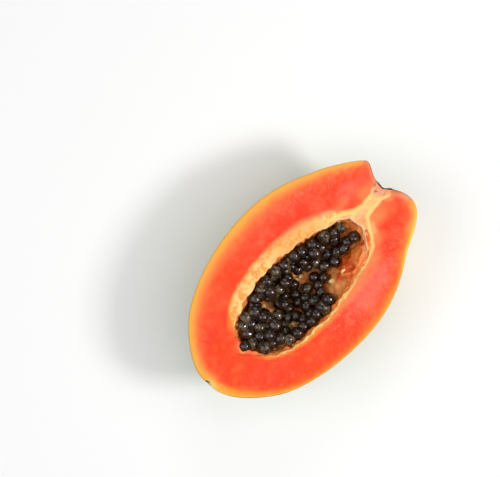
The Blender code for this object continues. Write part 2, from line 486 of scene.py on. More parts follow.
def distance_to_line(points: np.ndarray, line: np.ndarray) -> np.ndarray:
    """Distance from each (x, y) point to the nearest stretch of a line.

    Args:
        points: the points.
        line: the corners of the line, as (x, y).

    Returns:
        The distance for each point.
    """
    nearest = np.full(len(points), np.inf)
    for start, end in zip(line[:-1], line[1:]):
        along = end - start
        share = np.clip((points - start) @ along / max(along @ along, 1e-18), 0.0, 1.0)
        offset = points - start - share[:, None] * along
        nearest = np.minimum(nearest, np.hypot(offset[:, 0], offset[:, 1]))
    return nearest


def strand_share(points: np.ndarray, strand: Sequence[tuple[float, float, float]]) -> np.ndarray:
    """0 on a strand's middle line and 1 at its edge.

    Args:
        points: the (x, y) points, in metres.
        strand: (x, y, half width) of each station of the strand, in millimetres.

    Returns:
        The share of the half width for each point.
    """
    stations = np.array(strand) * MM
    dense = np.linspace(0, len(stations) - 1, 24 * len(stations))
    path = [np.interp(dense, np.arange(len(stations)), stations[:, axis]) for axis in range(3)]
    share = np.full(len(points), np.inf)
    for x, y, half_width in zip(*path):
        share = np.minimum(share, np.hypot(points[:, 0] - x, points[:, 1] - y) / half_width)
    return share


def wavy(points: np.ndarray, wavelength: float, offset: float = 0.0) -> np.ndarray:
    """Smooth seeded noise of about -1 to 1 at each 3-D point."""
    shift = Vector((offset, 0.31 * offset, 1.7 * offset))
    return np.array([noise.noise(Vector(point) / wavelength + shift) for point in points])


# Materials


Colour = tuple[int, int, int]
Socket = bpy.types.NodeSocket
Feed = Socket | float | tuple[float, ...]
Paint = Socket | Colour

# Where a Mix node takes its two colours and gives the mixed one
COLOUR_INPUTS = (6, 7)
COLOUR_OUTPUT = 2


def linear(colour: Colour) -> tuple[float, float, float, float]:
    """The scene-linear form of an 8-bit colour.

    Args:
        colour: red, green and blue, up to 255.

    Returns:
        Red, green, blue and 1 for alpha.
    """
    parts = [part / 255 for part in colour]
    straight = [part / 12.92 if part <= 0.04045 else ((part + 0.055) / 1.055) ** 2.4 for part in parts]
    return (*straight, 1.0)


class Graph:
    """Adds nodes to a tree and links them."""

    def __init__(self, tree: bpy.types.NodeTree) -> None:
        """Works on this tree."""
        self.tree = tree

    def node(self, kind: str, inputs: dict | None = None, **settings: object) -> bpy.types.Node:
        """A node with these settings.

        Args:
            kind: the node's type name.
            inputs: sockets, or plain values, by the name or index of the input that takes them.
            settings: properties of the node.

        Returns:
            The new node.
        """
        made = self.tree.nodes.new(kind)
        for name, value in settings.items():
            setattr(made, name, value)
        for name, value in (inputs or {}).items():
            self.feed(made.inputs[name], value)
        return made

    def feed(self, target: Socket, value: Feed) -> None:
        """Links a socket to an input, or sets the input to a plain value.

        Args:
            target: the input.
            value: a socket or a plain value.
        """
        if isinstance(value, Socket):
            self.tree.links.new(value, target)
        else:
            target.default_value = value

    def math(self, operation: str, *values: Feed, clamp: bool = False) -> Socket:
        """The result of a sum on one to three values."""
        inputs = dict(enumerate(values))
        return self.node("ShaderNodeMath", inputs, operation=operation, use_clamp=clamp).outputs[0]

    def times(self, first: Feed, *others: Feed) -> Socket:
        """The values multiplied."""
        return reduce(lambda product, value: self.math("MULTIPLY", product, value), others, first)

    def vary(self, value: Feed, by: Feed, share: Feed, clamp: bool = False) -> Socket:
        """The value, moved up by a share of another one."""
        return self.math("MULTIPLY_ADD", by, share, value, clamp=clamp)

    def rise(self, value: Feed, low: float, high: float, bottom: float = 0.0, top: float = 1.0) -> Socket:
        """The value eased from bottom, where it is low, to top, where it is high."""
        inputs = {"Value": value, "From Min": low, "From Max": high, "To Min": bottom, "To Max": top}
        return self.node("ShaderNodeMapRange", inputs, interpolation_type="SMOOTHSTEP").outputs[0]

    def mix(self, share: Feed, first: Paint, second: Paint, blend: str = "MIX") -> Socket:
        """Two colours mixed by a share.

        Args:
            share: 0 for the first colour, 1 for the second.
            first: the one colour, a socket or 8-bit numbers.
            second: the other colour.
            blend: how they are mixed.

        Returns:
            The mixed colour.
        """
        made = self.node("ShaderNodeMix", {"Factor": share}, data_type="RGBA", blend_type=blend)
        for place, colour in zip(COLOUR_INPUTS, (first, second)):
            self.feed(made.inputs[place], colour if isinstance(colour, Socket) else linear(colour))
        return made.outputs[COLOUR_OUTPUT]

    def layer(self, base: Paint, share: Feed, colour: Paint, most: float = 1.0) -> Socket:
        """The base with a colour laid over it by a share that most scales."""
        return self.mix(share if most == 1.0 else self.times(share, most), base, colour)

    def ramp(self, value: Socket, stops: Sequence[tuple[float, Colour]]) -> Socket:
        """Colours by value, from 0 to 1.

        Args:
            value: what the colour follows.
            stops: each place from 0 to 1, and its colour.

        Returns:
            The colour.
        """
        made = self.node("ShaderNodeValToRGB", {"Fac": value})
        elements = made.color_ramp.elements
        while len(elements) < len(stops):
            elements.new(0.5)
        for element, (place, colour) in zip(elements, stops):
            element.position = place
            element.color = linear(colour)
        return made.outputs["Color"]

    def measured(self, name: str) -> Socket:
        """A number that the mesh carries at each vertex."""
        return self.node("ShaderNodeAttribute", attribute_name=name).outputs["Fac"]

    def place(self, stretch: tuple[float, float, float] = (1.0, 1.0, 1.0)) -> Socket:
        """The point of the piece in metres, stretched along its axes."""
        point = self.node("ShaderNodeTexCoord").outputs["Object"]
        return self.node("ShaderNodeVectorMath", {0: point, 1: stretch}, operation="MULTIPLY").outputs[0]

    def centred(self, value: Socket) -> Socket:
        """A value around 0.5, less 0.5."""
        return self.math("SUBTRACT", value, 0.5)

    def clouds(self, place: Socket, scale: Feed, detail: float = 3.0, distortion: float = 0.0) -> Socket:
        """Noise around 0.5."""
        inputs = {"Vector": place, "Scale": scale, "Detail": detail, "Distortion": distortion}
        return self.node("ShaderNodeTexNoise", inputs).outputs[0]

    def group(self, tree: bpy.types.NodeTree, **inputs: Feed) -> bpy.types.Node:
        """One of the shared effects, with these inputs.

        Args:
            tree: the effect's node group.
            inputs: values by the names of its inputs, in small letters.

        Returns:
            The group's node.
        """
        made = self.node("ShaderNodeGroup", node_tree=tree)
        for name, value in inputs.items():
            self.feed(made.inputs[name.replace("_", " ").capitalize()], value)
        return made

    def bump(self, height: Socket, distance: float, strength: float) -> Socket:
        """The surface's normal, tilted by a height from 0 to 1 over this distance in metres."""
        inputs = {"Height": height, "Distance": distance, "Strength": strength}
        return self.node("ShaderNodeBump", inputs).outputs["Normal"]


def effect(name: str, inputs: dict[str, float], outputs: Sequence[str]) -> tuple:
    """An empty shared effect.

    Args:
        name: the node group's name.
        inputs: the default of each number that the effect takes.
        outputs: the numbers that it gives.

    Returns:
        The tree, its graph, the group's input node and its output node.
    """
    tree = bpy.data.node_groups.new(name, "ShaderNodeTree")
    for title, value in inputs.items():
        socket = tree.interface.new_socket(name=title, in_out="INPUT", socket_type="NodeSocketFloat")
        socket.default_value = value
    for title in outputs:
        tree.interface.new_socket(name=title, in_out="OUTPUT", socket_type="NodeSocketFloat")
    graph = Graph(tree)
    return tree, graph, graph.node("NodeGroupInput"), graph.node("NodeGroupOutput")


@dataclass(frozen=True)
class Effects:
    """The node groups that several materials share, each built once."""

    flecks: bpy.types.NodeTree
    wet_film: bpy.types.NodeTree
    mottle: bpy.types.NodeTree

    @classmethod
    def build(cls) -> "Effects":
        """Builds all of them."""
        return cls(cls.build_flecks(), cls.build_wet_film(), cls.build_mottle())

    @staticmethod
    def build_flecks() -> bpy.types.NodeTree:
        """Small round flecks, strewn unevenly: 1 in a fleck, 0 beside it.

        Returns:
            The node group.
        """
        numbers = {"Scale": 500.0, "Size": 0.2, "Share": 0.5}
        tree, graph, given, result = effect("flecks", numbers, ["Mask"])
        inputs = {"Vector": graph.place(), "Scale": given.outputs["Scale"]}
        cell = graph.node("ShaderNodeTexVoronoi", inputs)
        draw = graph.node("ShaderNodeSeparateColor", {0: cell.outputs["Color"]}).outputs[0]
        chosen = graph.math("LESS_THAN", draw, given.outputs["Share"])
        near = graph.math("DIVIDE", cell.outputs["Distance"], given.outputs["Size"])
        dot = graph.rise(near, 1.0, 0.4)
        graph.feed(result.inputs["Mask"], graph.times(dot, chosen))
        return tree

    @staticmethod
    def build_wet_film() -> bpy.types.NodeTree:
        """A film of juice: its roughness, and the low height of the grain under it.

        Returns:
            The node group.
        """
        numbers = {"Scale": 600.0, "Driest": 0.6, "Wettest": 0.2}
        tree, graph, given, result = effect("wet_film", numbers, ["Roughness", "Height"])
        place = graph.place()
        pools = graph.clouds(place, 90.0, 4.0)
        grain = graph.clouds(place, given.outputs["Scale"], 5.0)
        wet = graph.rise(pools, 0.35, 0.65)
        span = graph.math("SUBTRACT", given.outputs["Wettest"], given.outputs["Driest"])
        rough = graph.vary(given.outputs["Driest"], wet, span)
        graph.feed(result.inputs["Roughness"], rough)
        graph.feed(result.inputs["Height"], grain)
        return tree

    @staticmethod
    def build_mottle() -> bpy.types.NodeTree:
        """Cloudy variation from 0 to 1, with a finer one inside it.

        Returns:
            The node group.
        """
        tree, graph, given, result = effect("mottle", {"Scale": 60.0, "Fine": 0.3}, ["Value"])
        place = graph.place()
        scale = given.outputs["Scale"]
        broad = graph.clouds(place, scale, 2.0)
        small = graph.clouds(place, graph.times(scale, 7.0), 3.0)
        both = graph.math("ADD", broad, graph.times(graph.centred(small), given.outputs["Fine"]))
        graph.feed(result.inputs["Value"], graph.rise(both, 0.3, 0.7))
        return tree


def new_material(name: str) -> tuple[bpy.types.Material, Graph, bpy.types.Node]:
    """A material, its graph and its shader.

    Args:
        name: the material's name.

    Returns:
        The material, the graph that adds to it and its Principled node.
    """
    material = bpy.data.materials.new(name)
    material.use_nodes = True
    return material, Graph(material.node_tree), material.node_tree.nodes["Principled BSDF"]


@dataclass(frozen=True)
class SkinFinish:
    """Thin satin skin, green turning yellow in lengthwise bands, with orange blushes."""

    effects: Effects
    green: Colour = (98, 132, 42)
    deep_green: Colour = (66, 102, 34)
    yellow_green: Colour = (162, 170, 60)
    yellow: Colour = (236, 186, 60)
    blush: Colour = (222, 164, 56)
    scar: Colour = (78, 52, 34)
    dark_bark: Colour = (22, 12, 8)
    light_bark: Colour = (98, 64, 40)

    def material(self) -> bpy.types.Material:
        """Builds the material.

        Returns:
            The material.
        """
        material, graph, shader = new_material("papaya_skin")
        turn = graph.measured("turn")
        streaks = graph.clouds(graph.place((0.3, 1.0, 1.0)), 60.0, 5.0, 0.5)
        waves = graph.math("SINE", graph.vary(graph.times(turn, 5.0), streaks, 6.0))
        band = graph.rise(waves, -1.1, 1.1)
        mottle = graph.group(self.effects.mottle, scale=34.0, fine=0.6).outputs["Value"]
        base = graph.mix(mottle, self.deep_green, self.green)
        base = graph.layer(base, band, self.yellow_green, 0.8)
        hairlines = graph.rise(graph.clouds(graph.place((0.12, 1.0, 1.0)), 520.0, 3.0, 0.3), 0.5, 0.68)
        base = graph.layer(base, hairlines, self.yellow_green, 0.3)
        blotch = graph.clouds(graph.place((0.5, 1.0, 1.0)), 26.0, 5.0, 0.6)
        base = graph.layer(base, graph.rise(blotch, 0.5, 0.78, 0.0, 0.85), self.blush)
        ripe = graph.vary(graph.measured("turned"), mottle, 0.5)
        base = graph.layer(base, graph.rise(ripe, 0.4, 1.2), self.yellow)
        light = graph.group(self.effects.flecks, scale=420.0, size=0.24, share=0.45).outputs["Mask"]
        base = graph.layer(base, light, self.yellow_green, 0.45)
        dark = graph.group(self.effects.flecks, scale=230.0, size=0.16, share=0.12).outputs["Mask"]
        base = graph.layer(base, dark, self.scar, 0.55)
        bark = graph.clouds(graph.place(), 900.0, 4.0)
        woody = graph.vary(graph.measured("scar"), bark, 0.5)
        woody = graph.rise(woody, 0.6, 0.85)
        base = graph.layer(base, woody, graph.mix(bark, self.dark_bark, self.light_bark))
        graph.feed(shader.inputs["Base Color"], base)
        film = graph.group(self.effects.wet_film, scale=700.0, driest=0.5, wettest=0.36)
        rough = graph.vary(film.outputs["Roughness"], woody, 0.35, clamp=True)
        graph.feed(shader.inputs["Roughness"], rough)
        pores = graph.vary(film.outputs["Height"], light, 0.4)
        graph.feed(shader.inputs["Normal"], graph.bump(pores, 0.00025, 0.35))
        shader.inputs["Specular IOR Level"].default_value = 0.4
        shader.inputs["Subsurface Weight"].default_value = 0.06
        shader.inputs["Subsurface Scale"].default_value = 0.001
        return material


@dataclass(frozen=True)
class FleshFinish:
    """Moist cut flesh: yellow under the skin, then orange, then red, with pale pulp and veins."""

    effects: Effects
    by_depth: tuple[tuple[float, Colour], ...] = (
        (0.0, (196, 150, 70)),
        (0.027, (220, 166, 74)),
        (0.055, (247, 178, 74)),
        (0.115, (250, 170, 71)),
        (0.17, (250, 157, 70)),
        (0.26, (250, 135, 64)),
        (0.38, (250, 104, 54)),
        (0.54, (250, 79, 42)),
        (0.70, (250, 68, 36)),
        (1.0, (250, 68, 35)),
    )
    pale_red: Colour = (249, 99, 66)
    deep_red: Colour = (246, 58, 28)
    pink: Colour = (246, 106, 88)
    fire: Colour = (250, 68, 22)
    soft_orange: Colour = (251, 146, 82)
    ray: Colour = (244, 50, 22)
    pale_fibre: Colour = (252, 132, 98)
    # Painted highlight: pinkish white glints on the wet flesh
    glint_fleck: Colour = (253, 160, 138)
    near_pulp: Colour = (249, 140, 86)
    near_pulp_ripe: Colour = (250, 147, 44)
    pulp: Colour = (252, 206, 128)
    pulp_shade: Colour = (245, 162, 76)
    pulp_grain: Colour = (254, 216, 150)
    # The lip's pale line and its pinkish white ridge by the stem end: partly pale pulp, partly painted
    # highlight
    lip: Colour = (253, 214, 156)
    pink_lip: Colour = (254, 216, 186)
    collar: Colour = (250, 178, 116)
    collar_streak: Colour = (216, 122, 80)
    vein: Colour = (253, 216, 128)
    trunk_pink: Colour = (254, 208, 156)
    pale_rind: Colour = (230, 208, 120)
    end_flesh: Colour = (240, 156, 112)
    end_brown: Colour = (200, 104, 60)
    shelf: Colour = (220, 104, 42)
    shelf_light: Colour = (248, 162, 90)
    end_line: Colour = (150, 78, 50)
    scar_flesh: Colour = (232, 156, 124)
    scar_mark: Colour = (150, 62, 42)
    bark: Colour = (34, 18, 12)
    rind: Colour = (150, 148, 76)
    gold: Colour = (250, 206, 78)
    less_blue: Colour = (255, 255, 186)

    def material(self) -> bpy.types.Material:
        """Builds the material.

        Returns:
            The material.
        """
        material, graph, shader = new_material("papaya_flesh")
        base = self.flesh(graph)
        base = self.rind_line(graph, base)
        base = self.pulp_band(graph, base)
        base = self.stem_marks(graph, base)
        graph.feed(shader.inputs["Base Color"], base)
        film = graph.group(self.effects.wet_film, scale=900.0, driest=0.62, wettest=0.34)
        graph.feed(shader.inputs["Roughness"], film.outputs["Roughness"])
        fibres = graph.clouds(self.along_fibres(graph, 0.5), 1.1, 4.0, 0.3)
        height = graph.vary(film.outputs["Height"], fibres, 1.2)
        graph.feed(shader.inputs["Normal"], graph.bump(height, 0.0004, 0.35))
        shader.inputs["Specular IOR Level"].default_value = 0.2
        shader.inputs["Subsurface Weight"].default_value = 0.12
        shader.inputs["Subsurface Radius"].default_value = (1.0, 0.4, 0.2)
        shader.inputs["Subsurface Scale"].default_value = 0.0014
        return material

    @staticmethod
    def along_fibres(graph: Graph, stretch: float) -> Socket:
        """A place in mm whose second axis runs inwards from the skin, as the fibres do.

        Args:
            graph: the material's graph.
            stretch: how much closer together things lie inwards.

        Returns:
            The place.
        """
        inwards = graph.times(graph.measured("rim"), stretch)
        parts = {0: graph.measured("around"), 1: inwards}
        return graph.node("ShaderNodeCombineXYZ", parts).outputs[0]

    def flesh(self, graph: Graph) -> Socket:
        """The colours from the rind inwards, with clouds of paler and deeper red and sparse painted
        highlight specks.

        Args:
            graph: the material's graph.

        Returns:
            The colour.
        """
        wobble = graph.centred(graph.clouds(graph.place(), 110.0, 4.0))
        ripe = graph.measured("ripe")
        loose = graph.times(graph.rise(ripe, 0.02, 0.3), 0.3)
        base = graph.ramp(graph.vary(ripe, wobble, loose), self.by_depth)
        inner = graph.rise(ripe, 0.16, 0.45)
        tone = graph.vary(graph.measured("tone"), wobble, 0.9)
        pinker = graph.times(graph.rise(tone, 0.1, 0.95), inner)
        base = graph.layer(base, pinker, self.pink, 0.85)
        fierier = graph.times(graph.rise(tone, -0.1, -0.95), inner)
        base = graph.layer(base, fierier, self.fire, 0.85)
        mottle = graph.group(self.effects.mottle, scale=52.0, fine=0.5).outputs["Value"]
        paler = graph.times(graph.rise(mottle, 0.5, 1.0), inner)
        calm = graph.vary(1.0, graph.measured("blossom"), -0.75)
        base = graph.layer(base, graph.times(paler, graph.times(calm, 0.45)), self.pale_red)
        deeper = graph.times(graph.rise(mottle, 0.5, 0.0), inner)
        base = graph.layer(base, deeper, self.deep_red, 0.6)
        fibre = graph.clouds(self.along_fibres(graph, 0.28), 1.0, 4.0, 0.2)
        pale_fibre = graph.times(graph.rise(fibre, 0.46, 0.66), inner)
        shown = graph.times(calm, 0.42, graph.measured("even"))
        base = graph.layer(base, graph.times(pale_fibre, shown), self.pale_fibre)
        # Painted highlight: sparse pinkish white specks for glints on the wet flesh, most in the glint
        # patch
        glints = graph.rise(graph.clouds(self.along_fibres(graph, 0.6), 1.7, 2.0), 0.56, 0.7)
        sparse = graph.vary(0.05, graph.measured("glint_specks"), 0.7)
        base = graph.layer(base, graph.times(glints, inner, sparse), self.glint_fleck)
        base = self.rays(graph, base)
        orange = graph.vary(graph.measured("orange"), wobble, 0.7)
        return graph.layer(base, graph.math("MULTIPLY", orange, 0.9, clamp=True), self.soft_orange)

    def rays(self, graph: Graph, base: Socket) -> Socket:
        """Redder streaks that run from the cavity's tip to the blossom scar.

        Args:
            graph: the material's graph.
            base: the colour so far.

        Returns:
            The colour with them laid over it.
        """
        fanned = graph.times(graph.measured("angle"), 5.0)
        inwards = graph.times(graph.measured("rim"), 0.06)
        noise_place = graph.node("ShaderNodeCombineXYZ", {0: fanned, 1: inwards}).outputs[0]
        rays = graph.rise(graph.clouds(noise_place, 1.0, 4.0, 0.3), 0.5, 0.66)
        share = graph.times(rays, graph.measured("rays"), 0.6)
        return graph.layer(base, share, self.ray)

    def rind_line(self, graph: Graph, base: Socket) -> Socket:
        """The thin line of skin round the cut: greenish by the blossom end, golden by the stem.

        Args:
            graph: the material's graph.
            base: the colour so far.

        Returns:
            The colour with them laid over it.
        """
        depth = graph.measured("rim")
        warm = graph.times(graph.measured("warm"), 0.9)
        base = graph.mix(warm, base, self.less_blue, "MULTIPLY")
        golden = graph.times(graph.rise(depth, 2.2, 0.5), graph.measured("golden"))
        base = graph.layer(base, golden, self.gold)
        edge = graph.times(graph.rise(depth, 0.75, 0.15), graph.measured("green"))
        base = graph.layer(base, edge, self.rind)
        return graph.layer(base, graph.measured("pale_tip"), self.pale_rind, 0.7)

    def pulp_band(self, graph: Graph, base: Socket) -> Socket:
        """The pale pulp along the cavity, the veins round its stem end and the blush beside them.

        Args:
            graph: the material's graph.
            base: the colour so far.

        Returns:
            The colour with them laid over it.
        """
        place = graph.place()
        wobble = graph.centred(graph.clouds(place, 230.0, 4.0, 0.4))
        near = graph.vary(graph.measured("blend"), wobble, 1.0, clamp=True)
        blush = graph.mix(graph.measured("blossom"), self.near_pulp, self.near_pulp_ripe)
        base = graph.layer(base, near, blush, 0.85)
        band = graph.vary(graph.measured("band"), wobble, 1.0)
        patches = graph.rise(graph.clouds(place, 240.0, 3.0, 0.5), 0.42, 0.56)
        pulp = graph.mix(patches, self.pulp_shade, self.pulp)
        grain = graph.rise(graph.clouds(place, 900.0, 3.0), 0.5, 0.7)
        pulp = graph.layer(pulp, grain, self.pulp_grain, 0.65)
        pulp = graph.layer(pulp, graph.measured("dull"), self.pulp_shade, 0.5)
        base = graph.layer(base, graph.rise(band, 1.45, 0.7), pulp)
        collar = graph.mix(self.streaks(graph, 0.54, 0.66), self.collar, self.collar_streak)
        collared = graph.vary(graph.measured("collar"), wobble, 0.9)
        base = graph.layer(base, graph.rise(collared, 0.2, 0.9, 0.0, 0.8), collar)
        facets = graph.rise(graph.clouds(place, 380.0, 3.0, 0.6), 0.46, 0.66)
        shelf = graph.mix(facets, self.shelf, self.shelf_light)
        shelved = graph.vary(graph.measured("shelf"), wobble, 0.8)
        base = graph.layer(base, graph.rise(shelved, 0.3, 0.8), shelf)
        trunk = graph.vary(graph.measured("trunk"), wobble, 1.6)
        pale = graph.mix(self.streaks(graph, 0.38, 0.56), self.vein, self.trunk_pink)
        peach = graph.rise(graph.clouds(graph.place((0.5, 1.0, 1.0)), 330.0, 4.0, 0.8), 0.46, 0.62)
        pale = graph.layer(pale, peach, self.soft_orange, 0.4)
        base = graph.layer(base, graph.rise(trunk, 2.3, 0.6), self.near_pulp, 0.6)
        base = graph.layer(base, graph.rise(trunk, 1.6, 0.2), pale, 0.8)
        vein = graph.vary(graph.measured("vein"), wobble, 1.3)
        base = graph.layer(base, graph.rise(vein, 2.3, 0.2), self.vein, 0.85)
        # The lip's pale line and pinkish white ridge: partly the pale pulp's colour, partly painted
        # highlight
        lip = graph.rise(graph.vary(graph.measured("edge"), wobble, 1.8), 1.1, 0.2)
        lip_colour = graph.mix(graph.measured("pink_lip"), self.lip, self.pink_lip)
        return graph.layer(base, graph.times(lip, graph.measured("pale_lip")), lip_colour)

    @staticmethod
    def streaks(graph: Graph, low: float, high: float) -> Socket:
        """Short streaks along X: 1 in a streak, 0 beside it."""
        return graph.rise(graph.clouds(graph.place((0.35, 1.0, 1.0)), 700.0, 3.0, 0.6), low, high)

    def stem_marks(self, graph: Graph, base: Socket) -> Socket:
        """The pinkish flesh under the stem scar, its brown streaks and the dark bark at its edge.

        Args:
            graph: the material's graph.
            base: the colour so far.

        Returns:
            The colour with them laid over it.
        """
        scarred = graph.measured("scar")
        base = graph.layer(base, graph.measured("end_flesh"), self.end_flesh, 0.95)
        base = graph.layer(base, graph.measured("end_brown"), self.end_brown, 0.8)
        base = graph.layer(base, graph.rise(scarred, 0.2, 1.0, 0.0, 0.8), self.scar_flesh)
        marks = graph.times(self.streaks(graph, 0.52, 0.64), graph.rise(scarred, 0.3, 0.9, 0.0, 0.8))
        base = graph.layer(base, marks, self.scar_mark)
        base = graph.layer(base, graph.measured("end_line"), self.end_line, 0.8)
        return graph.layer(base, graph.measured("bark"), self.bark)


@dataclass(frozen=True)
class LiningFinish:
    """The cavity's wet, fibrous wall: red brown painted shade next to the seeds, paler ridges between
    them that are partly painted light.
    """

    effects: Effects
    # Paler far from the seeds, on the ridges between them: partly painted light
    ridge: Colour = (254, 166, 92)
    wall: Colour = (246, 114, 44)
    # Painted shade: dark red brown in the hollows next to the seeds
    socket: Colour = (112, 24, 7)
    ledge: Colour = (216, 80, 18)
    ledge_light: Colour = (246, 132, 54)
    stem_wall: Colour = (244, 134, 62)
    pulp: Colour = (248, 118, 50)
    pale_pulp: Colour = (253, 176, 104)
    lip: Colour = (252, 172, 92)
    shaded_lip: Colour = (248, 132, 58)
    pink_lip: Colour = (250, 160, 96)
    corner: Colour = (251, 96, 44)
    corner_edge: Colour = (252, 158, 78)
    fibre: Colour = (252, 184, 116)

    def material(self) -> bpy.types.Material:
        """Builds the material.

        Returns:
            The material.
        """
        material, graph, shader = new_material("cavity_lining")
        mottle = graph.group(self.effects.mottle, scale=170.0, fine=0.6).outputs["Value"]
        # Painted shade darkens the wall towards the seeds; the ridges far from them are paler, partly
        # painted light
        raised = graph.vary(graph.measured("raised"), graph.centred(mottle), 0.7)
        base = graph.mix(graph.rise(raised, -0.05, 0.4), self.socket, self.wall)
        base = graph.layer(base, graph.rise(raised, 0.45, 1.0), self.ridge)
        faceted = graph.vary(graph.measured("facet"), mottle, 0.5)
        ledge = graph.mix(graph.rise(faceted, 0.55, 1.2), self.ledge, self.ledge_light)
        base = graph.layer(base, graph.measured("ledge"), ledge)
        base = graph.layer(base, graph.measured("stem_wall"), self.stem_wall)
        lumps = graph.rise(graph.clouds(graph.place(), 420.0, 3.0, 0.4), 0.42, 0.62)
        pulpy = graph.mix(lumps, self.pulp, self.pale_pulp)
        base = graph.layer(base, graph.rise(graph.measured("pulpy"), 0.1, 0.7), pulpy)
        fibre = graph.rise(graph.clouds(graph.place((0.4, 1.0, 1.0)), 420.0, 4.0, 1.2), 0.55, 0.7)
        base = graph.layer(base, fibre, self.fibre, 0.3)
        inwards = graph.vary(graph.measured("inside"), graph.centred(mottle), 1.2)
        high = graph.rise(graph.measured("below"), 4.5, 1.0)
        near_lip = graph.times(graph.rise(inwards, 1.6, 0.2), high)
        lip = graph.mix(graph.rise(graph.measured("pale_lip"), 0.35, 0.8), self.shaded_lip, self.lip)
        lip = graph.layer(lip, graph.measured("pink_lip"), self.pink_lip)
        base = graph.layer(base, near_lip, lip)
        by_seeds = graph.vary(graph.measured("gap"), graph.centred(mottle), 1.6)
        corner = graph.mix(graph.rise(by_seeds, 2.4, 1.0), self.corner, self.corner_edge)
        base = graph.layer(base, graph.measured("filled"), corner)
        graph.feed(shader.inputs["Base Color"], base)
        film = graph.group(self.effects.wet_film, scale=800.0, driest=0.5, wettest=0.2)
        graph.feed(shader.inputs["Roughness"], film.outputs["Roughness"])
        folds = graph.clouds(graph.place((0.6, 1.0, 1.0)), 330.0, 3.0, 0.8)
        height = graph.vary(graph.vary(film.outputs["Height"], fibre, 0.5), folds, 1.6)
        graph.feed(shader.inputs["Normal"], graph.bump(height, 0.0009, 0.6))
        shader.inputs["Specular IOR Level"].default_value = 0.3
        shader.inputs["Coat Weight"].default_value = 0.15
        shader.inputs["Coat Roughness"].default_value = 0.12
        shader.inputs["Subsurface Weight"].default_value = 0.12
        shader.inputs["Subsurface Radius"].default_value = (1.0, 0.4, 0.2)
        shader.inputs["Subsurface Scale"].default_value = 0.0016
        return material


@dataclass(frozen=True)
class SeedFinish:
    """Nearly black seeds in clear, wrinkled, wet coats; a few are olive grey."""

    effects: Effects
    black: Colour = (14, 7, 4)
    brown: Colour = (64, 33, 15)
    olive: Colour = (112, 94, 66)
    fleck: Colour = (134, 118, 92)

    def material(self) -> bpy.types.Material:
        """Builds the material.

        Returns:
            The material.
        """
        material, graph, shader = new_material("seed_coats")
        tone = graph.measured("tone")
        mottle = graph.group(self.effects.mottle, scale=330.0, fine=0.6).outputs["Value"]
        base = graph.mix(graph.times(mottle, 0.75), self.black, self.brown)
        cloudy = graph.vary(tone, graph.centred(mottle), 0.5)
        base = graph.layer(base, graph.rise(cloudy, 0.76, 1.2), self.olive)
        fleck = graph.group(self.effects.flecks, scale=1400.0, size=0.3, share=0.3).outputs["Mask"]
        base = graph.layer(base, fleck, self.fleck, 0.15)
        graph.feed(shader.inputs["Base Color"], base)
        film = graph.group(self.effects.wet_film, scale=900.0, driest=0.3, wettest=0.14)
        graph.feed(shader.inputs["Roughness"], film.outputs["Roughness"])
        wrinkles = graph.clouds(graph.place(), 560.0, 3.0, 1.6)
        height = graph.vary(film.outputs["Height"], wrinkles, 2.0)
        graph.feed(shader.inputs["Normal"], graph.bump(height, 0.0005, 0.4))
        shader.inputs["Specular IOR Level"].default_value = 0.08
        shader.inputs["Coat Weight"].default_value = 1.0
        shader.inputs["Coat IOR"].default_value = 1.55
        shader.inputs["Coat Roughness"].default_value = 0.04
        return material


@dataclass(frozen=True)
class PulpFinish:
    """Cream-coloured threads and crumbs of pulp between the seeds."""

    effects: Effects
    cream: Colour = (250, 208, 142)
    orange: Colour = (238, 144, 74)

    def material(self) -> bpy.types.Material:
        """Builds the material.

        Returns:
            The material.
        """
        material, graph, shader = new_material("loose_pulp")
        mottle = graph.group(self.effects.mottle, scale=300.0, fine=0.5).outputs["Value"]
        pale = graph.vary(graph.measured("pale"), mottle, 0.6)
        base = graph.mix(graph.rise(pale, 0.2, 1.1), self.orange, self.cream)
        graph.feed(shader.inputs["Base Color"], base)
        film = graph.group(self.effects.wet_film, scale=900.0, driest=0.45, wettest=0.2)
        graph.feed(shader.inputs["Roughness"], film.outputs["Roughness"])
        graph.feed(shader.inputs["Normal"], graph.bump(film.outputs["Height"], 0.0004, 0.5))
        shader.inputs["Subsurface Weight"].default_value = 0.3
        shader.inputs["Subsurface Radius"].default_value = (1.0, 0.6, 0.35)
        shader.inputs["Subsurface Scale"].default_value = 0.0015
        return material


# Pieces


class Layer(IntEnum):
    """The material slots of the fruit, by the surface that they cover."""

    SKIN = 0
    FACE = 1
    WALL = 2


class Side(Enum):
    """The two sides of the cut face, by their sign of Y."""

    LEFT = 1
    RIGHT = -1


class Shell:
    """Grids of points that are gathered into one closed mesh."""

    def __init__(self) -> None:
        """Starts with no points."""
        self.points: list[np.ndarray] = []
        self.quads: list[np.ndarray] = []
        self.layers: list[np.ndarray] = []
        self.count = 0

    def add(self, grid: np.ndarray, layer: Layer) -> None:
        """Adds the faces between the rows and columns of a grid of points.

        Args:
            grid: the points.
            layer: the surface that they cover.
        """
        rows, columns = grid.shape[:2]
        index = np.arange(rows * columns).reshape(rows, columns) + self.count
        corners = (index[:-1, :-1], index[:-1, 1:], index[1:, 1:], index[1:, :-1])
        quads = np.stack(corners, axis=-1).reshape(-1, 4)
        self.points.append(grid.reshape(-1, 3))
        self.quads.append(quads)
        self.layers.append(np.full(len(quads), int(layer)))
        self.count += rows * columns

    def mesh(self, name: str) -> bpy.types.Mesh:
        """The closed mesh, with points that meet joined and all faces turned outwards.

        Args:
            name: the mesh's name.

        Returns:
            The mesh.
        """
        data = bpy.data.meshes.new(name)
        data.from_pydata(np.concatenate(self.points).tolist(), [], np.concatenate(self.quads).tolist())
        data.polygons.foreach_set("material_index", np.concatenate(self.layers).astype(np.int32))
        joined = bmesh.new()
        joined.from_mesh(data)
        bmesh.ops.remove_doubles(joined, verts=joined.verts, dist=2e-6)
        bmesh.ops.recalc_face_normals(joined, faces=joined.faces)
        joined.to_mesh(data)
        joined.free()
        return data


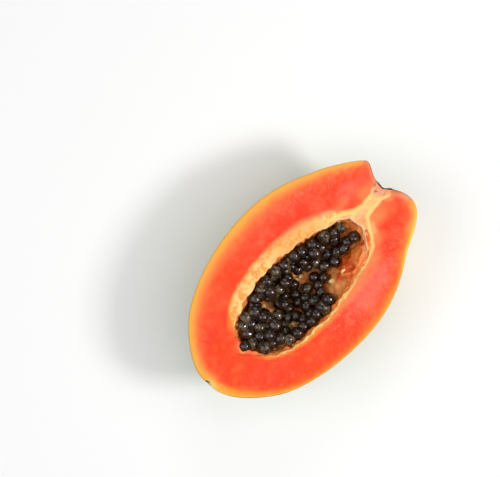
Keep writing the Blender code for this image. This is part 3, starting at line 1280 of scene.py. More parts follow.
def vertex_places(data: bpy.types.Mesh) -> np.ndarray:
    """The mesh's vertices as an array.

    Args:
        data: the mesh.

    Returns:
        One row for each vertex.
    """
    places = np.empty(len(data.vertices) * 3)
    data.vertices.foreach_get("co", places)
    return places.reshape(-1, 3)


def measure(data: bpy.types.Mesh, name: str, values: np.ndarray) -> None:
    """Keeps a number at each vertex for the materials."""
    attribute = data.attributes.new(name, "FLOAT", "POINT")
    attribute.data.foreach_set("value", np.asarray(values, dtype=np.float32))


def add_piece(data: bpy.types.Mesh, name: str, node: str) -> bpy.types.Object:
    """Puts a mesh into the scene as a piece that stands for a node.

    Args:
        data: the mesh.
        name: the piece's name.
        node: the source's node.

    Returns:
        The piece.
    """
    piece = bpy.data.objects.new(name, data)
    bpy.context.scene.collection.objects.link(piece)
    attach(piece, "root")
    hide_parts(node)
    return piece


# The pulp band's width in mm by x in mm, on each side of the cavity
BAND_WIDTH = {
    Side.LEFT: (
        (20, 0.5), (26, 1.3), (33, 3.4), (40, 5.4), (46, 6.4), (60, 6.1),
        (90, 7.4), (105, 8.0), (110, 7.4), (121, 6.2), (128, 3.0), (160, 3.0),
    ),
    Side.RIGHT: (
        (20, 0.5), (30, 0.8), (50, 1.1), (80, 1.6), (100, 1.4),
        (115, 1.0), (124, 1.2), (130, 2.6), (160, 3.0),
    ),
}
# How wide the blush beside the band is, in mm
BLUSH_WIDTH = {
    Side.LEFT: ((20, 0.8), (35, 2.4), (60, 2.6), (90, 3.8), (110, 4.5), (125, 3.5), (160, 3.0)),
    Side.RIGHT: ((20, 0.8), (60, 2.2), (85, 4.5), (105, 9.5), (115, 11.0), (125, 11.0), (160, 3.0)),
}
# How far in the flesh takes to turn wholly red, in mm
RED_DEPTH = {
    Side.LEFT: ((0, 22), (10, 18), (20, 17), (50, 22), (90, 23), (130, 18), (160, 9)),
    Side.RIGHT: (
        (0, 22), (10, 15), (20, 10), (60, 7.8), (90, 10.2),
        (118, 8.5), (135, 10.5), (148, 14), (160, 14),
    ),
}
# Strands of pale veins: (x, y, half width) in mm
TRUNK = (
    (127, 1.8, 2.0), (132, 0.0, 3.3), (137.5, -1.1, 3.3),
    (142, -0.6, 3.0), (146, -0.5, 3.3), (151, -0.8, 5.2),
)
LEFT_VEIN = (
    (151.5, 4.8, 0.5), (145.3, 2.5, 0.8), (137, 1.9, 1.0),
    (131.3, 3.4, 1.1), (125, 7.5, 1.1), (117, 11, 0.8),
)
RIGHT_VEIN = (
    (152, -5.6, 0.5), (146.1, -3.2, 0.8), (137.8, -3.7, 0.9), (134.2, -3.8, 0.9),
    (131.8, -6.7, 0.8), (127.6, -13.2, 0.7), (123.3, -18.2, 0.7), (116.9, -21.1, 0.6),
    (110.9, -22.8, 0.5), (104.5, -23.4, 0.4), (97, -25.2, 0.3), (90, -26.4, 0.3),
)
# The shelf of darker pulp that carries the ledge on to the vein
SHELF = (
    (127.0, -9.5, 1.2), (125.5, -12.5, 1.7), (122.8, -16.3, 2.1), (117.5, -19.3, 2.1),
    (111.5, -21.3, 1.9), (105.5, -22.3, 1.5), (99.0, -23.2, 0.8),
)
# Where the red is paler and pinker (above 0) or more fiery (below 0): oval in metres, and how much
TONES = (
    (Patch(0.100, -0.034, 0.030, 0.013), 1.0),
    (Patch(0.137, 0.014, 0.016, 0.009), 0.7),
    (Patch(0.112, 0.030, 0.022, 0.009), 0.35),
    (Patch(0.085, 0.033, 0.030, 0.008), 0.3),
    (Patch(0.017, 0.000, 0.024, 0.022), -1.2),
    (Patch(0.052, -0.036, 0.032, 0.014), -1.0),
    (Patch(0.150, -0.018, 0.010, 0.010), -0.6),
    (Patch(0.118, -0.032, 0.020, 0.010), 0.6),
    (Patch(0.052, 0.034, 0.026, 0.012), -0.8),
)
# Where orange lingers beside the veins: oval in metres, and how much
ORANGE = (
    (Patch(0.1370, -0.0080, 0.0100, 0.0085), 0.9),
    (Patch(0.1440, -0.0110, 0.0090, 0.0080), 0.45),
    (Patch(0.1430, 0.0065, 0.0110, 0.0060), 0.9),
    (Patch(0.1200, -0.0240, 0.0100, 0.0060), 0.4),
    (Patch(0.1290, -0.0170, 0.0080, 0.0060), 0.6),
    (Patch(0.1280, 0.0110, 0.0120, 0.0060), 0.45),
)
# The blossom tip, whose rind is pale
TIP = Patch(0.0008, -0.0022, 0.0034, 0.0058)
# The collar of pulp between the stem's veins and the cavity
COLLAR = Patch(0.1285, -0.0080, 0.0075, 0.0100)
# How far along each side of the cut the rind reaches towards the notch
RIND_END = {Side.LEFT: 0.1560, Side.RIGHT: 0.1583}
# Where sparse pinkish white specks of painted highlight stand for glints on the wet flesh
GLINT_PATCH = Patch(0.090, -0.0320, 0.034, 0.0095)
# The top of the ledge, and the paler wall below the collar
LEDGE_TOP = Patch(0.1110, -0.0168, 0.0180, 0.0072)
STEM_WALL = Patch(0.1245, -0.0010, 0.0085, 0.0095)
# In mm: where the stem end starts, the middles of the two scars, and the cavity's blossom tip
STEM_END = 140.0
STEM_SCAR = (150.5, 1.0)
BLOSSOM_SCAR = (0.7, 1.2)
CAVITY_TIP = 27.0
# The middle of the cavity, which its lip leans in towards
CAVITY_MIDDLE = (0.075, -0.002)


def oval(patch: Patch, points: np.ndarray, core: float = 0.5) -> np.ndarray:
    """1 within the core share of a patch and 0 from its edge on, for each (x, y) point.

    Args:
        patch: the oval.
        points: the points.
        core: where the fall from 1 to 0 starts.

    Returns:
        The value for each point.
    """
    along = (points[:, 0] - patch.x) / patch.half_length
    across = (points[:, 1] - patch.y) / patch.half_width
    return smooth(np.hypot(along, across), 1.0, core)


def by_side(table: dict, points: np.ndarray) -> np.ndarray:
    """A table's value in mm at each (x, y) point, blended where the sides meet.

    Args:
        table: (x, value) pairs in mm for each side.
        points: the points, in metres.

    Returns:
        The value for each point.
    """
    values = {}
    for side, stations in table.items():
        places, amounts = np.array(stations, dtype=float).T
        values[side] = np.interp(points[:, 0] / MM, places, amounts)
    left = smooth(points[:, 1], -3 * MM, 3 * MM)
    return values[Side.LEFT] * left + values[Side.RIGHT] * (1.0 - left)


Measures = dict[str, np.ndarray]


@dataclass(frozen=True)
class Survey:
    """Where each vertex of the fruit lies, and what the materials and the relief need to know.

    Places are in metres, and all distances in mm. Most of the measures go from 0, for none, to 1.
    """

    places: np.ndarray
    on_skin: np.ndarray
    on_wall: np.ndarray
    from_outline: np.ndarray
    from_rind: np.ndarray
    to_cavity: np.ndarray
    seed_gap: np.ndarray

    @property
    def plan(self) -> np.ndarray:
        """Each (x, y) in metres."""
        return self.places[:, :2]

    @property
    def x(self) -> np.ndarray:
        """How far each vertex is from the blossom tip."""
        return self.places[:, 0] / MM

    @property
    def y(self) -> np.ndarray:
        """How far each vertex is to the left of the long axis."""
        return self.places[:, 1] / MM

    @property
    def below(self) -> np.ndarray:
        """How far each vertex is below the cut."""
        return -self.places[:, 2] / MM

    def measures(self) -> Measures:
        """All the measures, by the names that the materials know them by."""
        parts = (self.flesh(), self.rind(), self.pulp(), self.wall(), self.ends(), self.skin())
        return {name: values for part in parts for name, values in part.items()}

    def flesh(self) -> Measures:
        """How red the flesh is, how its red varies, how its fibres show and where painted highlight
        specks lie.

        Returns:
            These measures.
        """
        headstart = 0.8 * smooth(self.from_rind, 4.0, 1.0) * smooth(-self.y, 2.0, 10.0)
        by_stem = smooth(self.x, 132.0, 145.0)
        return {
            "ripe": (self.from_rind + headstart) / by_side(RED_DEPTH, self.plan),
            "rim": self.from_rind,
            "tone": sum(amount * oval(patch, self.plan, 0.1) for patch, amount in TONES),
            "orange": sum(amount * oval(patch, self.plan, 0.0) for patch, amount in ORANGE),
            # Where the painted highlight specks gather
            "glint_specks": oval(GLINT_PATCH, self.plan, 0.3),
            "even": smooth(self.from_rind, 18.0, 9.0) * (1.0 - 0.75 * by_stem),
            "blossom": smooth(self.x, 100.0, 55.0),
            "angle": np.arctan2(self.y, CAVITY_TIP - self.x),
            "rays": smooth(self.x, 30.0, 22.0) * smooth(self.from_outline, 3.0, 9.0),
        }

    def rind(self) -> Measures:
        """Where the rind round the cut is golden, warm, green or pale.

        Returns:
            These measures.
        """
        x, y = self.x, self.y
        return {
            "golden": smooth(-y, 2.0, 12.0) * smooth(x, 114.0, 142.0) * smooth(x, 158.0, 150.0),
            "warm": smooth(-y, 4.0, 14.0) * smooth(self.from_rind, 9.0, 4.0) * smooth(x, 150.0, 135.0),
            "green": smooth(x, 62.0, 8.0) * np.where(y < 12.0, 1.0, 0.35) * smooth(x, 0.5, 5.0),
            "pale_tip": oval(TIP, self.plan, 0.2),
        }

    def pulp(self) -> Measures:
        """Where the face shows pulp: band, blush, veins, collar, shelf and the cavity's lip, whose pale
        line is partly painted highlight.

        Returns:
            These measures.
        """
        x = self.x
        from_cavity = np.where(self.on_wall, 0.0, self.to_cavity)
        width = by_side(BAND_WIDTH, self.plan)
        blush_end = width + by_side(BLUSH_WIDTH, self.plan)
        veins = [strand_share(self.plan, strand) for strand in (LEFT_VEIN, RIGHT_VEIN)]
        # On the face, these place the lip's pale line and pinkish white ridge, partly painted highlight
        pink_lip = smooth(x, 112.0, 122.0)
        pale_lip = np.maximum(0.15 + 0.3 * smooth(self.y, -10.0, 4.0), 0.65 * pink_lip)
        return {
            "edge": from_cavity,
            "band": np.minimum(from_cavity / width + 1.8 * smooth(x, 42.0, 27.0), 6.0),
            "dull": smooth(x, 72.0, 92.0) * smooth(x, 118.0, 108.0),
            "blend": smooth(from_cavity, blush_end, width + 0.3) * smooth(x, 26.0, 39.0),
            "vein": np.minimum(np.min(veins, axis=0), 4.0),
            "trunk": np.minimum(strand_share(self.plan, TRUNK), 4.0),
            "collar": oval(COLLAR, self.plan, 0.4),
            "shelf": smooth(strand_share(self.plan, SHELF), 1.15, 0.8),
            "pale_lip": pale_lip * smooth(x, 30.0, 40.0),
            "pink_lip": pink_lip,
        }

    def wall(self) -> Measures:
        """What the cavity's wall is like: bare, raised, faceted, torn or filled.

        Returns:
            These measures.
        """
        filled = smooth(self.x, 33.0, 28.0) * smooth(self.seed_gap, 0.4, 1.4)
        by_lip = smooth(self.seed_gap, 1.0, 2.6) * smooth(self.y, -2.0, -8.0)
        torn = by_lip * smooth(self.below, 9.0, 4.0) * (1.0 - oval(LEDGE_TOP, self.plan, 0.8))
        return {
            "inside": np.where(self.on_wall, self.to_cavity, 0.0),
            "below": self.below,
            "gap": self.seed_gap,
            # Also sets how far the lining's painted shade next to the seeds reaches
            "raised": smooth(self.seed_gap, 0.6, 3.0),
            "ledge": oval(LEDGE_TOP, self.plan, 0.75),
            "facet": 1.0 - 2.0 * np.abs(wavy(self.places, 0.0062, 43.0)),
            "stem_wall": oval(STEM_WALL, self.plan, 0.5) * smooth(self.below, 1.0, 5.0),
            "filled": filled,
            "pulpy": np.maximum(filled, torn) * self.on_wall,
        }

    def ends(self) -> Measures:
        """Where the scars of stem and blossom leave bark, brown lines and pinkish flesh.

        Returns:
            These measures.
        """
        x, y, depth = self.x, self.y, self.from_outline
        at_stem = x > STEM_END
        from_scar = np.hypot(x - STEM_SCAR[0], y - STEM_SCAR[1])
        from_axis = np.hypot(self.places[:, 1], self.places[:, 2]) / MM
        on_skin = smooth(from_axis, 6.4, 4.6) * at_stem
        scar = np.where(self.on_skin, on_skin, smooth(from_scar, 8.0, 1.5))
        from_tip = np.hypot(x - BLOSSOM_SCAR[0], np.hypot(y - BLOSSOM_SCAR[1], self.below))
        tip = smooth(from_tip, 1.9, 0.7)
        bark = smooth(depth, 0.7, 0.3) * smooth(np.abs(y + 0.5), 4.8, 3.4) * at_stem
        end = smooth(self.from_rind - depth, 0.3, 2.5) * at_stem
        right = smooth(depth, 5.0, 1.0) * smooth(y, -3.0, -8.0)
        left = 0.6 * smooth(depth, 3.0, 0.5) * smooth(y, 3.0, 7.0)
        brown = smooth(depth, 3.5, 0.5) * smooth(y, -11.5, -8.0) * smooth(y, -3.5, -5.5)
        return {
            "end_line": smooth(depth, 0.6, 0.15) * end,
            "end_flesh": (right + left) * end,
            "end_brown": brown * end,
            "scar": np.maximum(scar, np.where(self.on_skin, tip, 0.0)),
            "bark": np.maximum(bark, tip * smooth(depth, 1.0, 0.4)),
        }

    def skin(self) -> Measures:
        """How yellow the skin has turned, and its angle round the long axis.

        Returns:
            These measures.
        """
        by_stem = smooth(self.x, 60.0, 150.0) * smooth(self.y, 10.0, -35.0)
        by_cut = smooth(self.below, 7.0, 0.0) * smooth(self.x, 10.0, 60.0)
        return {
            "turned": np.clip(0.75 * by_stem + 0.65 * by_cut, 0.0, 1.0),
            "turn": np.arctan2(self.places[:, 2], self.places[:, 1]),
        }


@dataclass
class FruitHalf:
    """Flesh and skin of the half, with its cavity: one closed mesh in three finishes."""

    seeds: list[Seed]
    finishes: tuple[bpy.types.Material, bpy.types.Material, bpy.types.Material]
    rings: int = 216
    skin_turns: int = 120
    wall_turns: int = 90
    face_rows: int = 40
    body: Loft = field(init=False)
    cavity: Loft = field(init=False)

    def __post_init__(self) -> None:
        """Works out the lines that the forms follow."""
        self.body = loft((LEFT_SIDE, RIGHT_SIDE, UNDERSIDE), self.rings)
        self.cavity = loft((CAVITY_LEFT, CAVITY_RIGHT, CAVITY_FLOOR), self.rings)

    def build(self) -> bpy.types.Object:
        """Builds the mesh, measures it for the materials and works its relief.

        Returns:
            The dressed piece.
        """
        data = self.plain_mesh()
        places = vertex_places(data)
        on = self.layers_at_vertices(data)
        facts = self.survey(places, on).measures()
        facts["around"] = self.along_outline(places[:, :2])
        for name, values in facts.items():
            measure(data, name, values)
        moved = self.relief(data, places, on, facts)
        data.vertices.foreach_set("co", (moved + np.array(TO_ROW_FRAME)).ravel())
        data.update()
        self.shade(data)
        return self.dress(add_piece(data, "papaya_flesh_and_skin", "fruit_half"))

    def plain_mesh(self) -> bpy.types.Mesh:
        """Skin, cut face and cavity wall without relief, joined along their edges.

        Returns:
            The closed mesh, in the profile frame.
        """
        shell = Shell()
        skin = self.body.grid(np.linspace(0.0, -math.pi, self.skin_turns + 1), ribbed)
        skin[..., 2] = np.maximum(skin[..., 2], -FACE_HEIGHT)
        shell.add(skin, Layer.SKIN)
        wall = self.cavity.grid(np.linspace(0.0, -math.pi, self.wall_turns + 1), with_ledge)
        shell.add(wall, Layer.WALL)
        share = np.linspace(0.0, 1.0, self.face_rows + 1)
        share = 0.55 * share + 0.45 * (1.0 - np.cos(math.pi * share)) / 2
        for side in Side:
            outer = self.body.rim(side.value)[:, None, :]
            inner = self.cavity.rim(side.value)[:, None, :]
            plan = outer * (1.0 - share[None, :, None]) + inner * share[None, :, None]
            shell.add(np.concatenate((plan, np.zeros((*plan.shape[:2], 1))), axis=2), Layer.FACE)
        return shell.mesh("papaya_flesh_and_skin")

    @staticmethod
    def layers_at_vertices(data: bpy.types.Mesh) -> np.ndarray:
        """Which surfaces meet at each vertex, as a row of three flags.

        Args:
            data: the mesh.

        Returns:
            One row for each vertex.
        """
        on = np.zeros((len(data.vertices), len(Layer)), dtype=bool)
        for polygon in data.polygons:
            on[list(polygon.vertices), polygon.material_index] = True
        return on

    def survey(self, places: np.ndarray, on: np.ndarray) -> Survey:
        """Measures where the vertices lie.

        Args:
            places: the vertices of the plain mesh.
            on: which surfaces meet at each of them.

        Returns:
            Their distances from the outline, the rind, the cavity and the seeds.
        """
        plan = places[:, :2]
        rinds = [distance_to_line(plan, self.rind(side)) for side in Side]
        return Survey(
            places=places,
            on_skin=on[:, Layer.SKIN],
            on_wall=on[:, Layer.WALL],
            from_outline=distance_to_line(plan, self.body.loop()) / MM,
            from_rind=np.min(rinds, axis=0) / MM,
            to_cavity=distance_to_line(plan, self.cavity.loop()) / MM,
            seed_gap=self.gap_to_seeds(places),
        )

    def rind(self, side: Side) -> np.ndarray:
        """The outline along one side, as (x, y), as far as the rind reaches."""
        rim = self.body.rim(side.value)
        return rim[: np.argmax(rim[:, 0] > RIND_END[side])]

    def along_outline(self, plan: np.ndarray) -> np.ndarray:
        """How far round the outline, in mm, the skin nearest to each (x, y) point is.

        Args:
            plan: the points.

        Returns:
            The length along the outline for each point.
        """
        loop = self.body.loop()
        tree = search_tree([(x, y, 0.0) for x, y in loop])
        lengths = np.linalg.norm(np.diff(loop, axis=0), axis=1)
        travelled = np.concatenate(([0.0], np.cumsum(lengths))) / MM
        return np.array([travelled[tree.find((x, y, 0.0))[1]] for x, y in plan])

    def gap_to_seeds(self, places: np.ndarray) -> np.ndarray:
        """Distance in mm from each point to the nearest seed's surface.

        Args:
            places: the points, in metres.

        Returns:
            The distance for each point.
        """
        tree = search_tree([seed.centre for seed in self.seeds])
        gaps = []
        for point in places:
            _, index, distance = tree.find(Vector(point))
            gaps.append((distance - self.seeds[index].radius) / MM)
        return np.array(gaps)

    def relief(
        self, data: bpy.types.Mesh, places: np.ndarray, on: np.ndarray, facts: Measures
    ) -> np.ndarray:
        """The vertices moved: uneven skin, soft pulp that sags into the cavity, a lumpy wall.

        Args:
            data: the plain mesh.
            places: its vertices.
            on: which surfaces meet at each.
            facts: their measures.

        Returns:
            Where the vertices go.
        """
        moved = places.copy()
        self.work_skin(moved, on, self.normals(data, Layer.SKIN), facts)
        self.work_face(moved, on, facts)
        self.work_wall(moved, on, self.normals(data, Layer.WALL), facts)
        return moved

    @staticmethod
    def normals(data: bpy.types.Mesh, layer: Layer) -> np.ndarray:
        """Each vertex's normal over the faces of one surface.

        Args:
            data: the mesh.
            layer: the surface.

        Returns:
            One row for each vertex.
        """
        sums = np.zeros((len(data.vertices), 3))
        for polygon in data.polygons:
            if polygon.material_index == layer:
                sums[list(polygon.vertices)] += np.array(polygon.normal) * polygon.area
        return sums / np.maximum(np.linalg.norm(sums, axis=1, keepdims=True), 1e-12)

    @staticmethod
    def work_skin(moved: np.ndarray, on: np.ndarray, normals: np.ndarray, facts: Measures) -> None:
        """Faint dents, and the rough woody scar where the stem was.

        Args:
            moved: the vertices, which it moves.
            on: which surfaces meet at each.
            normals: the skin's normals.
            facts: the measures.
        """
        chosen = on[:, Layer.SKIN] & ~on[:, Layer.FACE]
        points = moved[chosen]
        below = facts["below"][chosen]
        dents = 0.22 * wavy(points, 0.016, 3.0) + 0.07 * wavy(points, 0.005, 5.0)
        dents *= smooth(below, 0.0, 4.0) * smooth(FACE_HEIGHT / MM - below, 0.0, 3.0)
        scar = facts["scar"][chosen] * (points[:, 0] > STEM_END * MM) * smooth(below, 0.1, 1.5)
        bark = scar * (0.45 + 0.35 * wavy(points, 0.0017, 8.0))
        moved[chosen] += normals[chosen] * ((dents + bark) * MM)[:, None]
        moved[:, 2] = np.maximum(moved[:, 2], -FACE_HEIGHT)

    def work_face(self, moved: np.ndarray, on: np.ndarray, facts: Measures) -> None:
        """A nearly flat cut, with soft pulp that is lumpy and droops at the cavity's edge.

        Args:
            moved: the vertices, which it moves.
            on: which surfaces meet at each.
            facts: the measures.
        """
        chosen = on[:, Layer.FACE] & ~on[:, Layer.SKIN]
        points = moved[chosen]
        inner = smooth(facts["rim"][chosen], 0.0, 4.0)
        height = 0.12 * wavy(points, 0.014, 11.0) * inner
        edge, band = facts["edge"][chosen], facts["band"][chosen]
        pulp = smooth(band, 1.25, 0.75)
        height += pulp * (0.5 * self.lumps(points) - 0.3) - self.sag(points) * smooth(edge, 2.2, 0.0)
        height -= facts["shelf"][chosen] ** 3 * (0.6 + 0.5 * wavy(points, 0.0028, 67.0))
        height += 0.35 * smooth(edge, 1.6, 0.7) * facts["pink_lip"][chosen] * (points[:, 1] < 0.003)
        moved[chosen, 2] += height * MM
        moved[chosen, :2] -= self.lip_shift(points, smooth(edge, 3.2, 0.0))

    def work_wall(self, moved: np.ndarray, on: np.ndarray, normals: np.ndarray, facts: Measures) -> None:
        """Hollows where seeds sat, ridges between them and an uneven lip.

        Args:
            moved: the vertices, which it moves.
            on: which surfaces meet at each.
            normals: the wall's normals.
            facts: the measures.
        """
        chosen = on[:, Layer.WALL] & ~on[:, Layer.FACE]
        points = moved[chosen]
        below = facts["below"][chosen]
        settled = smooth(below, 0.3, 3.0)
        ridges = 1.2 * facts["raised"][chosen] * (0.5 + 1.3 * wavy(points, 0.0038, 29.0))
        facets = 0.9 * facts["facet"][chosen] + 0.5 * wavy(points, 0.0024, 47.0)
        ridges += facts["ledge"][chosen] * facets
        ridges += facts["pulpy"][chosen] * (0.7 + 0.9 * wavy(points, 0.0026, 53.0))
        fine = 0.3 * wavy(points, 0.0017, 31.0)
        moved[chosen] += normals[chosen] * ((ridges + fine) * settled * MM)[:, None]
        level = (0.5 * wavy(points * (1.0, 1.0, 0.0), 0.0028, 59.0) - 0.5) * MM
        moved[chosen, 2] += facts["filled"][chosen] * np.maximum(level - moved[chosen, 2], 0.0)
        droop = np.where(below < 4.0, (1.0 - below / 4.0) ** 2, 0.0)
        pulp = 0.45 * self.lumps(points) - 0.35
        moved[chosen, 2] += (pulp - self.sag(points)) * droop * MM
        ceiling = (pulp - self.sag(points) - 0.2 * facts["inside"][chosen]) * MM
        moved[chosen, 2] = np.minimum(moved[chosen, 2], ceiling)
        moved[chosen, :2] -= self.lip_shift(points, smooth(below, 3.5, 0.0))

    @staticmethod
    def lumps(points: np.ndarray) -> np.ndarray:
        """The uneven surface of soft pulp, from about -1 to 1."""
        return 0.5 * wavy(points, 0.0034, 17.0) + 0.35 * wavy(points, 0.0017, 23.0)

    @staticmethod
    def sag(points: np.ndarray) -> np.ndarray:
        """How far in mm the cavity's edge droops: most on the left, where the pulp is thick."""
        droop = 0.35 + 0.5 * smooth(points[:, 1], -4 * MM, 4 * MM)
        return droop * smooth(points[:, 0], 27 * MM, 36 * MM)

    @staticmethod
    def lip_shift(points: np.ndarray, share: np.ndarray) -> np.ndarray:
        """How far the cavity's edge leans in over the seeds, as (x, y), times the given share.

        Args:
            points: the points of the edge and near it.
            share: how much of it each point takes.

        Returns:
            How far each point goes, as (x, y), pointing out of the cavity.
        """
        outward = points[:, :2] - np.array(CAVITY_MIDDLE)
        outward *= (0.35, 1.0)
        outward /= np.maximum(np.linalg.norm(outward, axis=1, keepdims=True), 1e-9)
        flat = points * (1.0, 1.0, 0.0)
        notches = 1.5 + 0.7 * smooth(points[:, 1], 0.0, 6 * MM)
        lean = 0.3 + notches * wavy(flat, 0.0066, 37.0) + 0.8 * wavy(flat, 0.0026, 41.0)
        return outward * (lean * share * MM)[:, None]

    @staticmethod
    def shade(data: bpy.types.Mesh) -> None:
        """Smooth everywhere but along the edge between skin and cut.

        Args:
            data: the mesh.
        """
        data.shade_smooth()
        meeting: dict[tuple[int, int], set[int]] = {}
        for polygon in data.polygons:
            for key in polygon.edge_keys:
                meeting.setdefault(key, set()).add(polygon.material_index)
        for edge in data.edges:
            edge.use_edge_sharp = meeting[edge.key] == {int(Layer.SKIN), int(Layer.FACE)}

    def dress(self, piece: bpy.types.Object) -> bpy.types.Object:
        """Gives each surface its finish, in the order of the layers.

        Args:
            piece: the fruit.

        Returns:
            The same piece.
        """
        for finish in self.finishes:
            piece.data.materials.append(finish)
        return piece


@dataclass
class SeedCluster:
    """All seeds as smooth, slightly uneven beads, each of its own tone."""

    seeds: list[Seed]
    finish: bpy.types.Material
    subdivisions: int = 4
    unevenness: float = 0.07
    swell: float = 1.12
    spread: float = 0.07

    def build(self) -> bpy.types.Object:
        """Builds the seeds as one mesh.

        Returns:
            The piece.
        """
        draw = random.Random(RANDOM_SEED + 2)
        mesh = bmesh.new()
        tones = []
        for number, seed in enumerate(self.seeds):
            size = self.swell + draw.uniform(-self.spread, self.spread)
            tones += [draw.random()] * self.add_seed(mesh, seed, size, float(number))
        data = bpy.data.meshes.new("papaya_seeds")
        mesh.to_mesh(data)
        mesh.free()
        data.shade_smooth()
        measure(data, "tone", np.array(tones))
        data.materials.append(self.finish)
        return add_piece(data, "papaya_seeds", "seeds")

    def add_seed(self, mesh: bmesh.types.BMesh, seed: Seed, size: float, number: float) -> int:
        """Adds one seed, a little egg-shaped.

        Args:
            mesh: the mesh that it joins.
            seed: where it is.
            size: how much larger it is.
            number: which seed it is.

        Returns:
            The number of its vertices.
        """
        made = bmesh.ops.create_icosphere(mesh, subdivisions=self.subdivisions, radius=1.0)["verts"]
        shift = Vector((number * 3.1, 0.0, 0.0))
        for vert in made:
            swell = self.unevenness * noise.noise(vert.co * 1.3 + shift)
            swell += 0.4 * self.unevenness * noise.noise(vert.co * 4.0 + shift)
            egg = Vector((1.0 - 0.07 * vert.co.z, 1.0 - 0.07 * vert.co.z, 1.0)) * size * (1.0 + swell)
            vert.co = seed.placing @ (vert.co * egg) + TO_ROW_FRAME
        return len(made)


@dataclass
class SeedThreads:
    """The short threads that hold seeds to the wall, and crumbs of pulp that lie between them."""

    seeds: list[Seed]
    wall: CavityWall
    finish: bpy.types.Material
    longest: float = 0.0062
    root_depth: float = 0.0006
    root_radius: float = 0.0013
    tip_radius: float = 0.0005
    # (x, y) in the plan and the size of each crumb
    crumbs: tuple[tuple[float, float, float], ...] = (
        (0.1020, -0.0160, 0.0012),
        (0.1003, -0.0172, 0.0009),
        (0.0590, -0.0155, 0.0015),
        (0.0612, -0.0168, 0.0011),
        (0.0575, -0.0143, 0.0010),
        (0.0935, -0.0150, 0.0013),
        (0.0922, -0.0133, 0.0009),
        (0.0650, 0.0035, 0.0012),
        (0.0545, 0.0060, 0.0010),
        (0.0820, 0.0008, 0.0013),
        (0.0790, 0.0012, 0.0010),
        (0.0755, 0.0148, 0.0010),
        (0.0950, 0.0118, 0.0010),
    )

    def build(self) -> bpy.types.Object:
        """Builds threads and crumbs as one mesh.

        Returns:
            The piece.
        """
        mesh = bmesh.new()
        pale = []
        for seed in self.seeds:
            point, _ = self.wall.nearest(seed.centre)
            if (seed.centre - point).length < self.longest:
                pale += [0.35] * self.add_thread(mesh, point, seed)
        for number, (x, y, size) in enumerate(self.crumbs):
            pale += [0.9] * self.add_crumb(mesh, x, y, size, float(number))
        data = bpy.data.meshes.new("pulp_threads")
        mesh.to_mesh(data)
        mesh.free()
        data.shade_smooth()
        measure(data, "pale", np.array(pale))
        data.materials.append(self.finish)
        return add_piece(data, "pulp_threads", "fruit_half")

    def add_thread(self, mesh: bmesh.types.BMesh, point: Vector, seed: Seed) -> int:
        """Adds a thread that tapers from the wall into its seed.

        Args:
            mesh: the mesh that it joins.
            point: where it leaves the wall.
            seed: its seed.

        Returns:
            The number of its vertices.
        """
        along = seed.centre - point
        root = point - along.normalized() * self.root_depth
        span = seed.centre - root
        turn = span.to_track_quat("Z", "Y").to_matrix().to_4x4()
        placing = Matrix.Translation((root + seed.centre) / 2 + TO_ROW_FRAME) @ turn
        sizes = {"radius1": self.root_radius, "radius2": self.tip_radius, "depth": span.length}
        made = bmesh.ops.create_cone(mesh, cap_ends=True, segments=8, matrix=placing, **sizes)
        return len(made["verts"])

    def add_crumb(self, mesh: bmesh.types.BMesh, x: float, y: float, size: float, number: float) -> int:
        """Adds a torn crumb that lies on the wall.

        Args:
            mesh: the mesh that it joins.
            x: how far along it lies.
            y: how far across it lies.
            size: its size.
            number: which crumb it is.

        Returns:
            The number of its vertices.
        """
        lowest = min(self.wall.samples, key=lambda item: math.hypot(item[0].x - x, item[0].y - y))
        middle = lowest[0] + lowest[1] * size * 0.9 + TO_ROW_FRAME
        made = bmesh.ops.create_icosphere(mesh, subdivisions=3, radius=1.0)["verts"]
        shift = Vector((number * 5.3, 1.0, 0.0))
        turn = Matrix.Rotation(number * 2.4, 3, "Z")
        for vert in made:
            torn = 1.0 + 0.55 * noise.noise(vert.co * 1.6 + shift)
            torn += 0.25 * noise.noise(vert.co * 3.7 + shift)
            vert.co = middle + turn @ Vector((vert.co.x * 1.4, vert.co.y, vert.co.z * 0.8)) * size * torn
        return len(made)


# Studio


@dataclass(frozen=True)
class SoftBox:
    """A square studio light that faces the fruit."""

    name: str
    place: tuple[float, float, float]
    side: float
    watts: float
    tint: Colour = (255, 255, 255)

    def build(self, target: Vector) -> bpy.types.Object:
        """Adds the light, aimed at the target.

        Args:
            target: what it faces.

        Returns:
            The light.
        """
        data = bpy.data.lights.new(self.name, "AREA")
        data.size = self.side
        data.energy = self.watts
        data.color = linear(self.tint)[:3]
        light = bpy.data.objects.new(self.name, data)
        light.location = self.place
        light.rotation_euler = (target - light.location).to_track_quat("-Z", "Y").to_euler()
        bpy.context.scene.collection.objects.link(light)
        return light


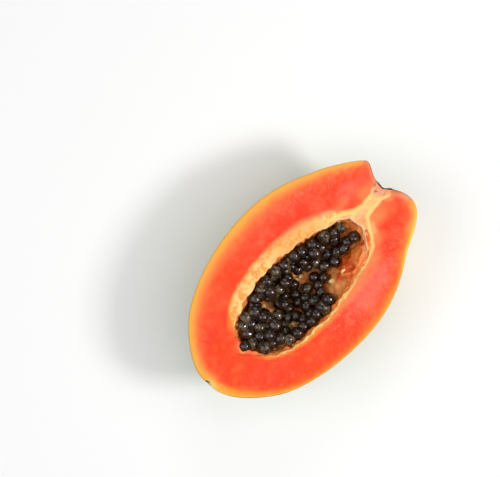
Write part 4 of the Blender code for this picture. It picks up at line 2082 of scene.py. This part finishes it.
@dataclass
class Studio:
    """Pale floor, soft lights and the camera above the cut face."""

    lens: float = 135.0
    sensor: float = 36.0
    frame_width: float = 0.29
    centre: tuple[float, float] = (-0.0003, 0.03805)
    image_right: tuple[float, float] = (0.6661, -0.7458)
    ambient: float = 0.165
    floor_reach: float = 4.0
    floor_tone: float = 0.97
    lights: tuple[SoftBox, ...] = (
        SoftBox("key", (0.42, -0.70, 0.80), 0.26, 6.0),
        SoftBox("top", (0.16, -0.32, 1.05), 1.20, 4.9),
        SoftBox("fill", (-0.60, 0.50, 0.80), 1.00, 5.1),
        SoftBox("rim", (0.60, 0.60, 0.60), 0.50, 1.25),
    )

    def build(self) -> None:
        """Adds everything that isn't part of the object."""
        self.add_floor()
        self.add_ambient()
        for light in self.lights:
            light.build(Vector((0.0, 0.0, FACE_HEIGHT)))
        self.add_camera()
        bpy.context.scene.view_settings.view_transform = "Standard"

    def add_floor(self) -> None:
        """A wide, plain, pale floor."""
        mesh = bmesh.new()
        bmesh.ops.create_grid(mesh, x_segments=1, y_segments=1, size=self.floor_reach)
        data = bpy.data.meshes.new("studio_floor")
        mesh.to_mesh(data)
        mesh.free()
        floor = bpy.data.objects.new("studio_floor", data)
        bpy.context.scene.collection.objects.link(floor)
        material, _, shader = new_material("studio_paper")
        shader.inputs["Base Color"].default_value = (*[self.floor_tone] * 3, 1.0)
        shader.inputs["Roughness"].default_value = 0.9
        shader.inputs["Specular IOR Level"].default_value = 0.1
        data.materials.append(material)

    def add_ambient(self) -> None:
        """Soft light from all round."""
        world = bpy.data.worlds.new("studio_light")
        world.use_nodes = True
        background = world.node_tree.nodes["Background"]
        background.inputs["Color"].default_value = (1.0, 1.0, 1.0, 1.0)
        background.inputs["Strength"].default_value = self.ambient
        bpy.context.scene.world = world

    def add_camera(self) -> None:
        """The camera, looking straight down on the cut face."""
        data = bpy.data.cameras.new("camera")
        data.lens = self.lens
        data.sensor_width = self.sensor
        camera = bpy.data.objects.new("camera", data)
        distance = self.frame_width * self.lens / self.sensor
        turn = math.atan2(self.image_right[1], self.image_right[0])
        place = Matrix.Translation((*self.centre, FACE_HEIGHT + distance))
        camera.matrix_world = place @ Matrix.Rotation(turn, 4, "Z")
        bpy.context.scene.collection.objects.link(camera)
        bpy.context.scene.camera = camera


def main() -> None:
    """Builds every piece, lights the scene and notes the sizes."""
    logging.basicConfig(level=logging.INFO, format="%(message)s")
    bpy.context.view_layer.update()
    effects = Effects.build()
    wall = CavityWall()
    seeds = grown_seeds(wall)
    surfaces = tuple(finish(effects).material() for finish in (SkinFinish, FleshFinish, LiningFinish))
    builders = (
        FruitHalf(seeds, surfaces),
        SeedCluster(seeds, SeedFinish(effects).material()),
        SeedThreads(seeds, wall, PulpFinish(effects).material()),
    )
    for builder in builders:
        piece = builder.build()
        LOG.info("%s: %d faces", piece.name, len(piece.data.polygons))
    Studio().build()


if __name__ == "__main__":
    main()
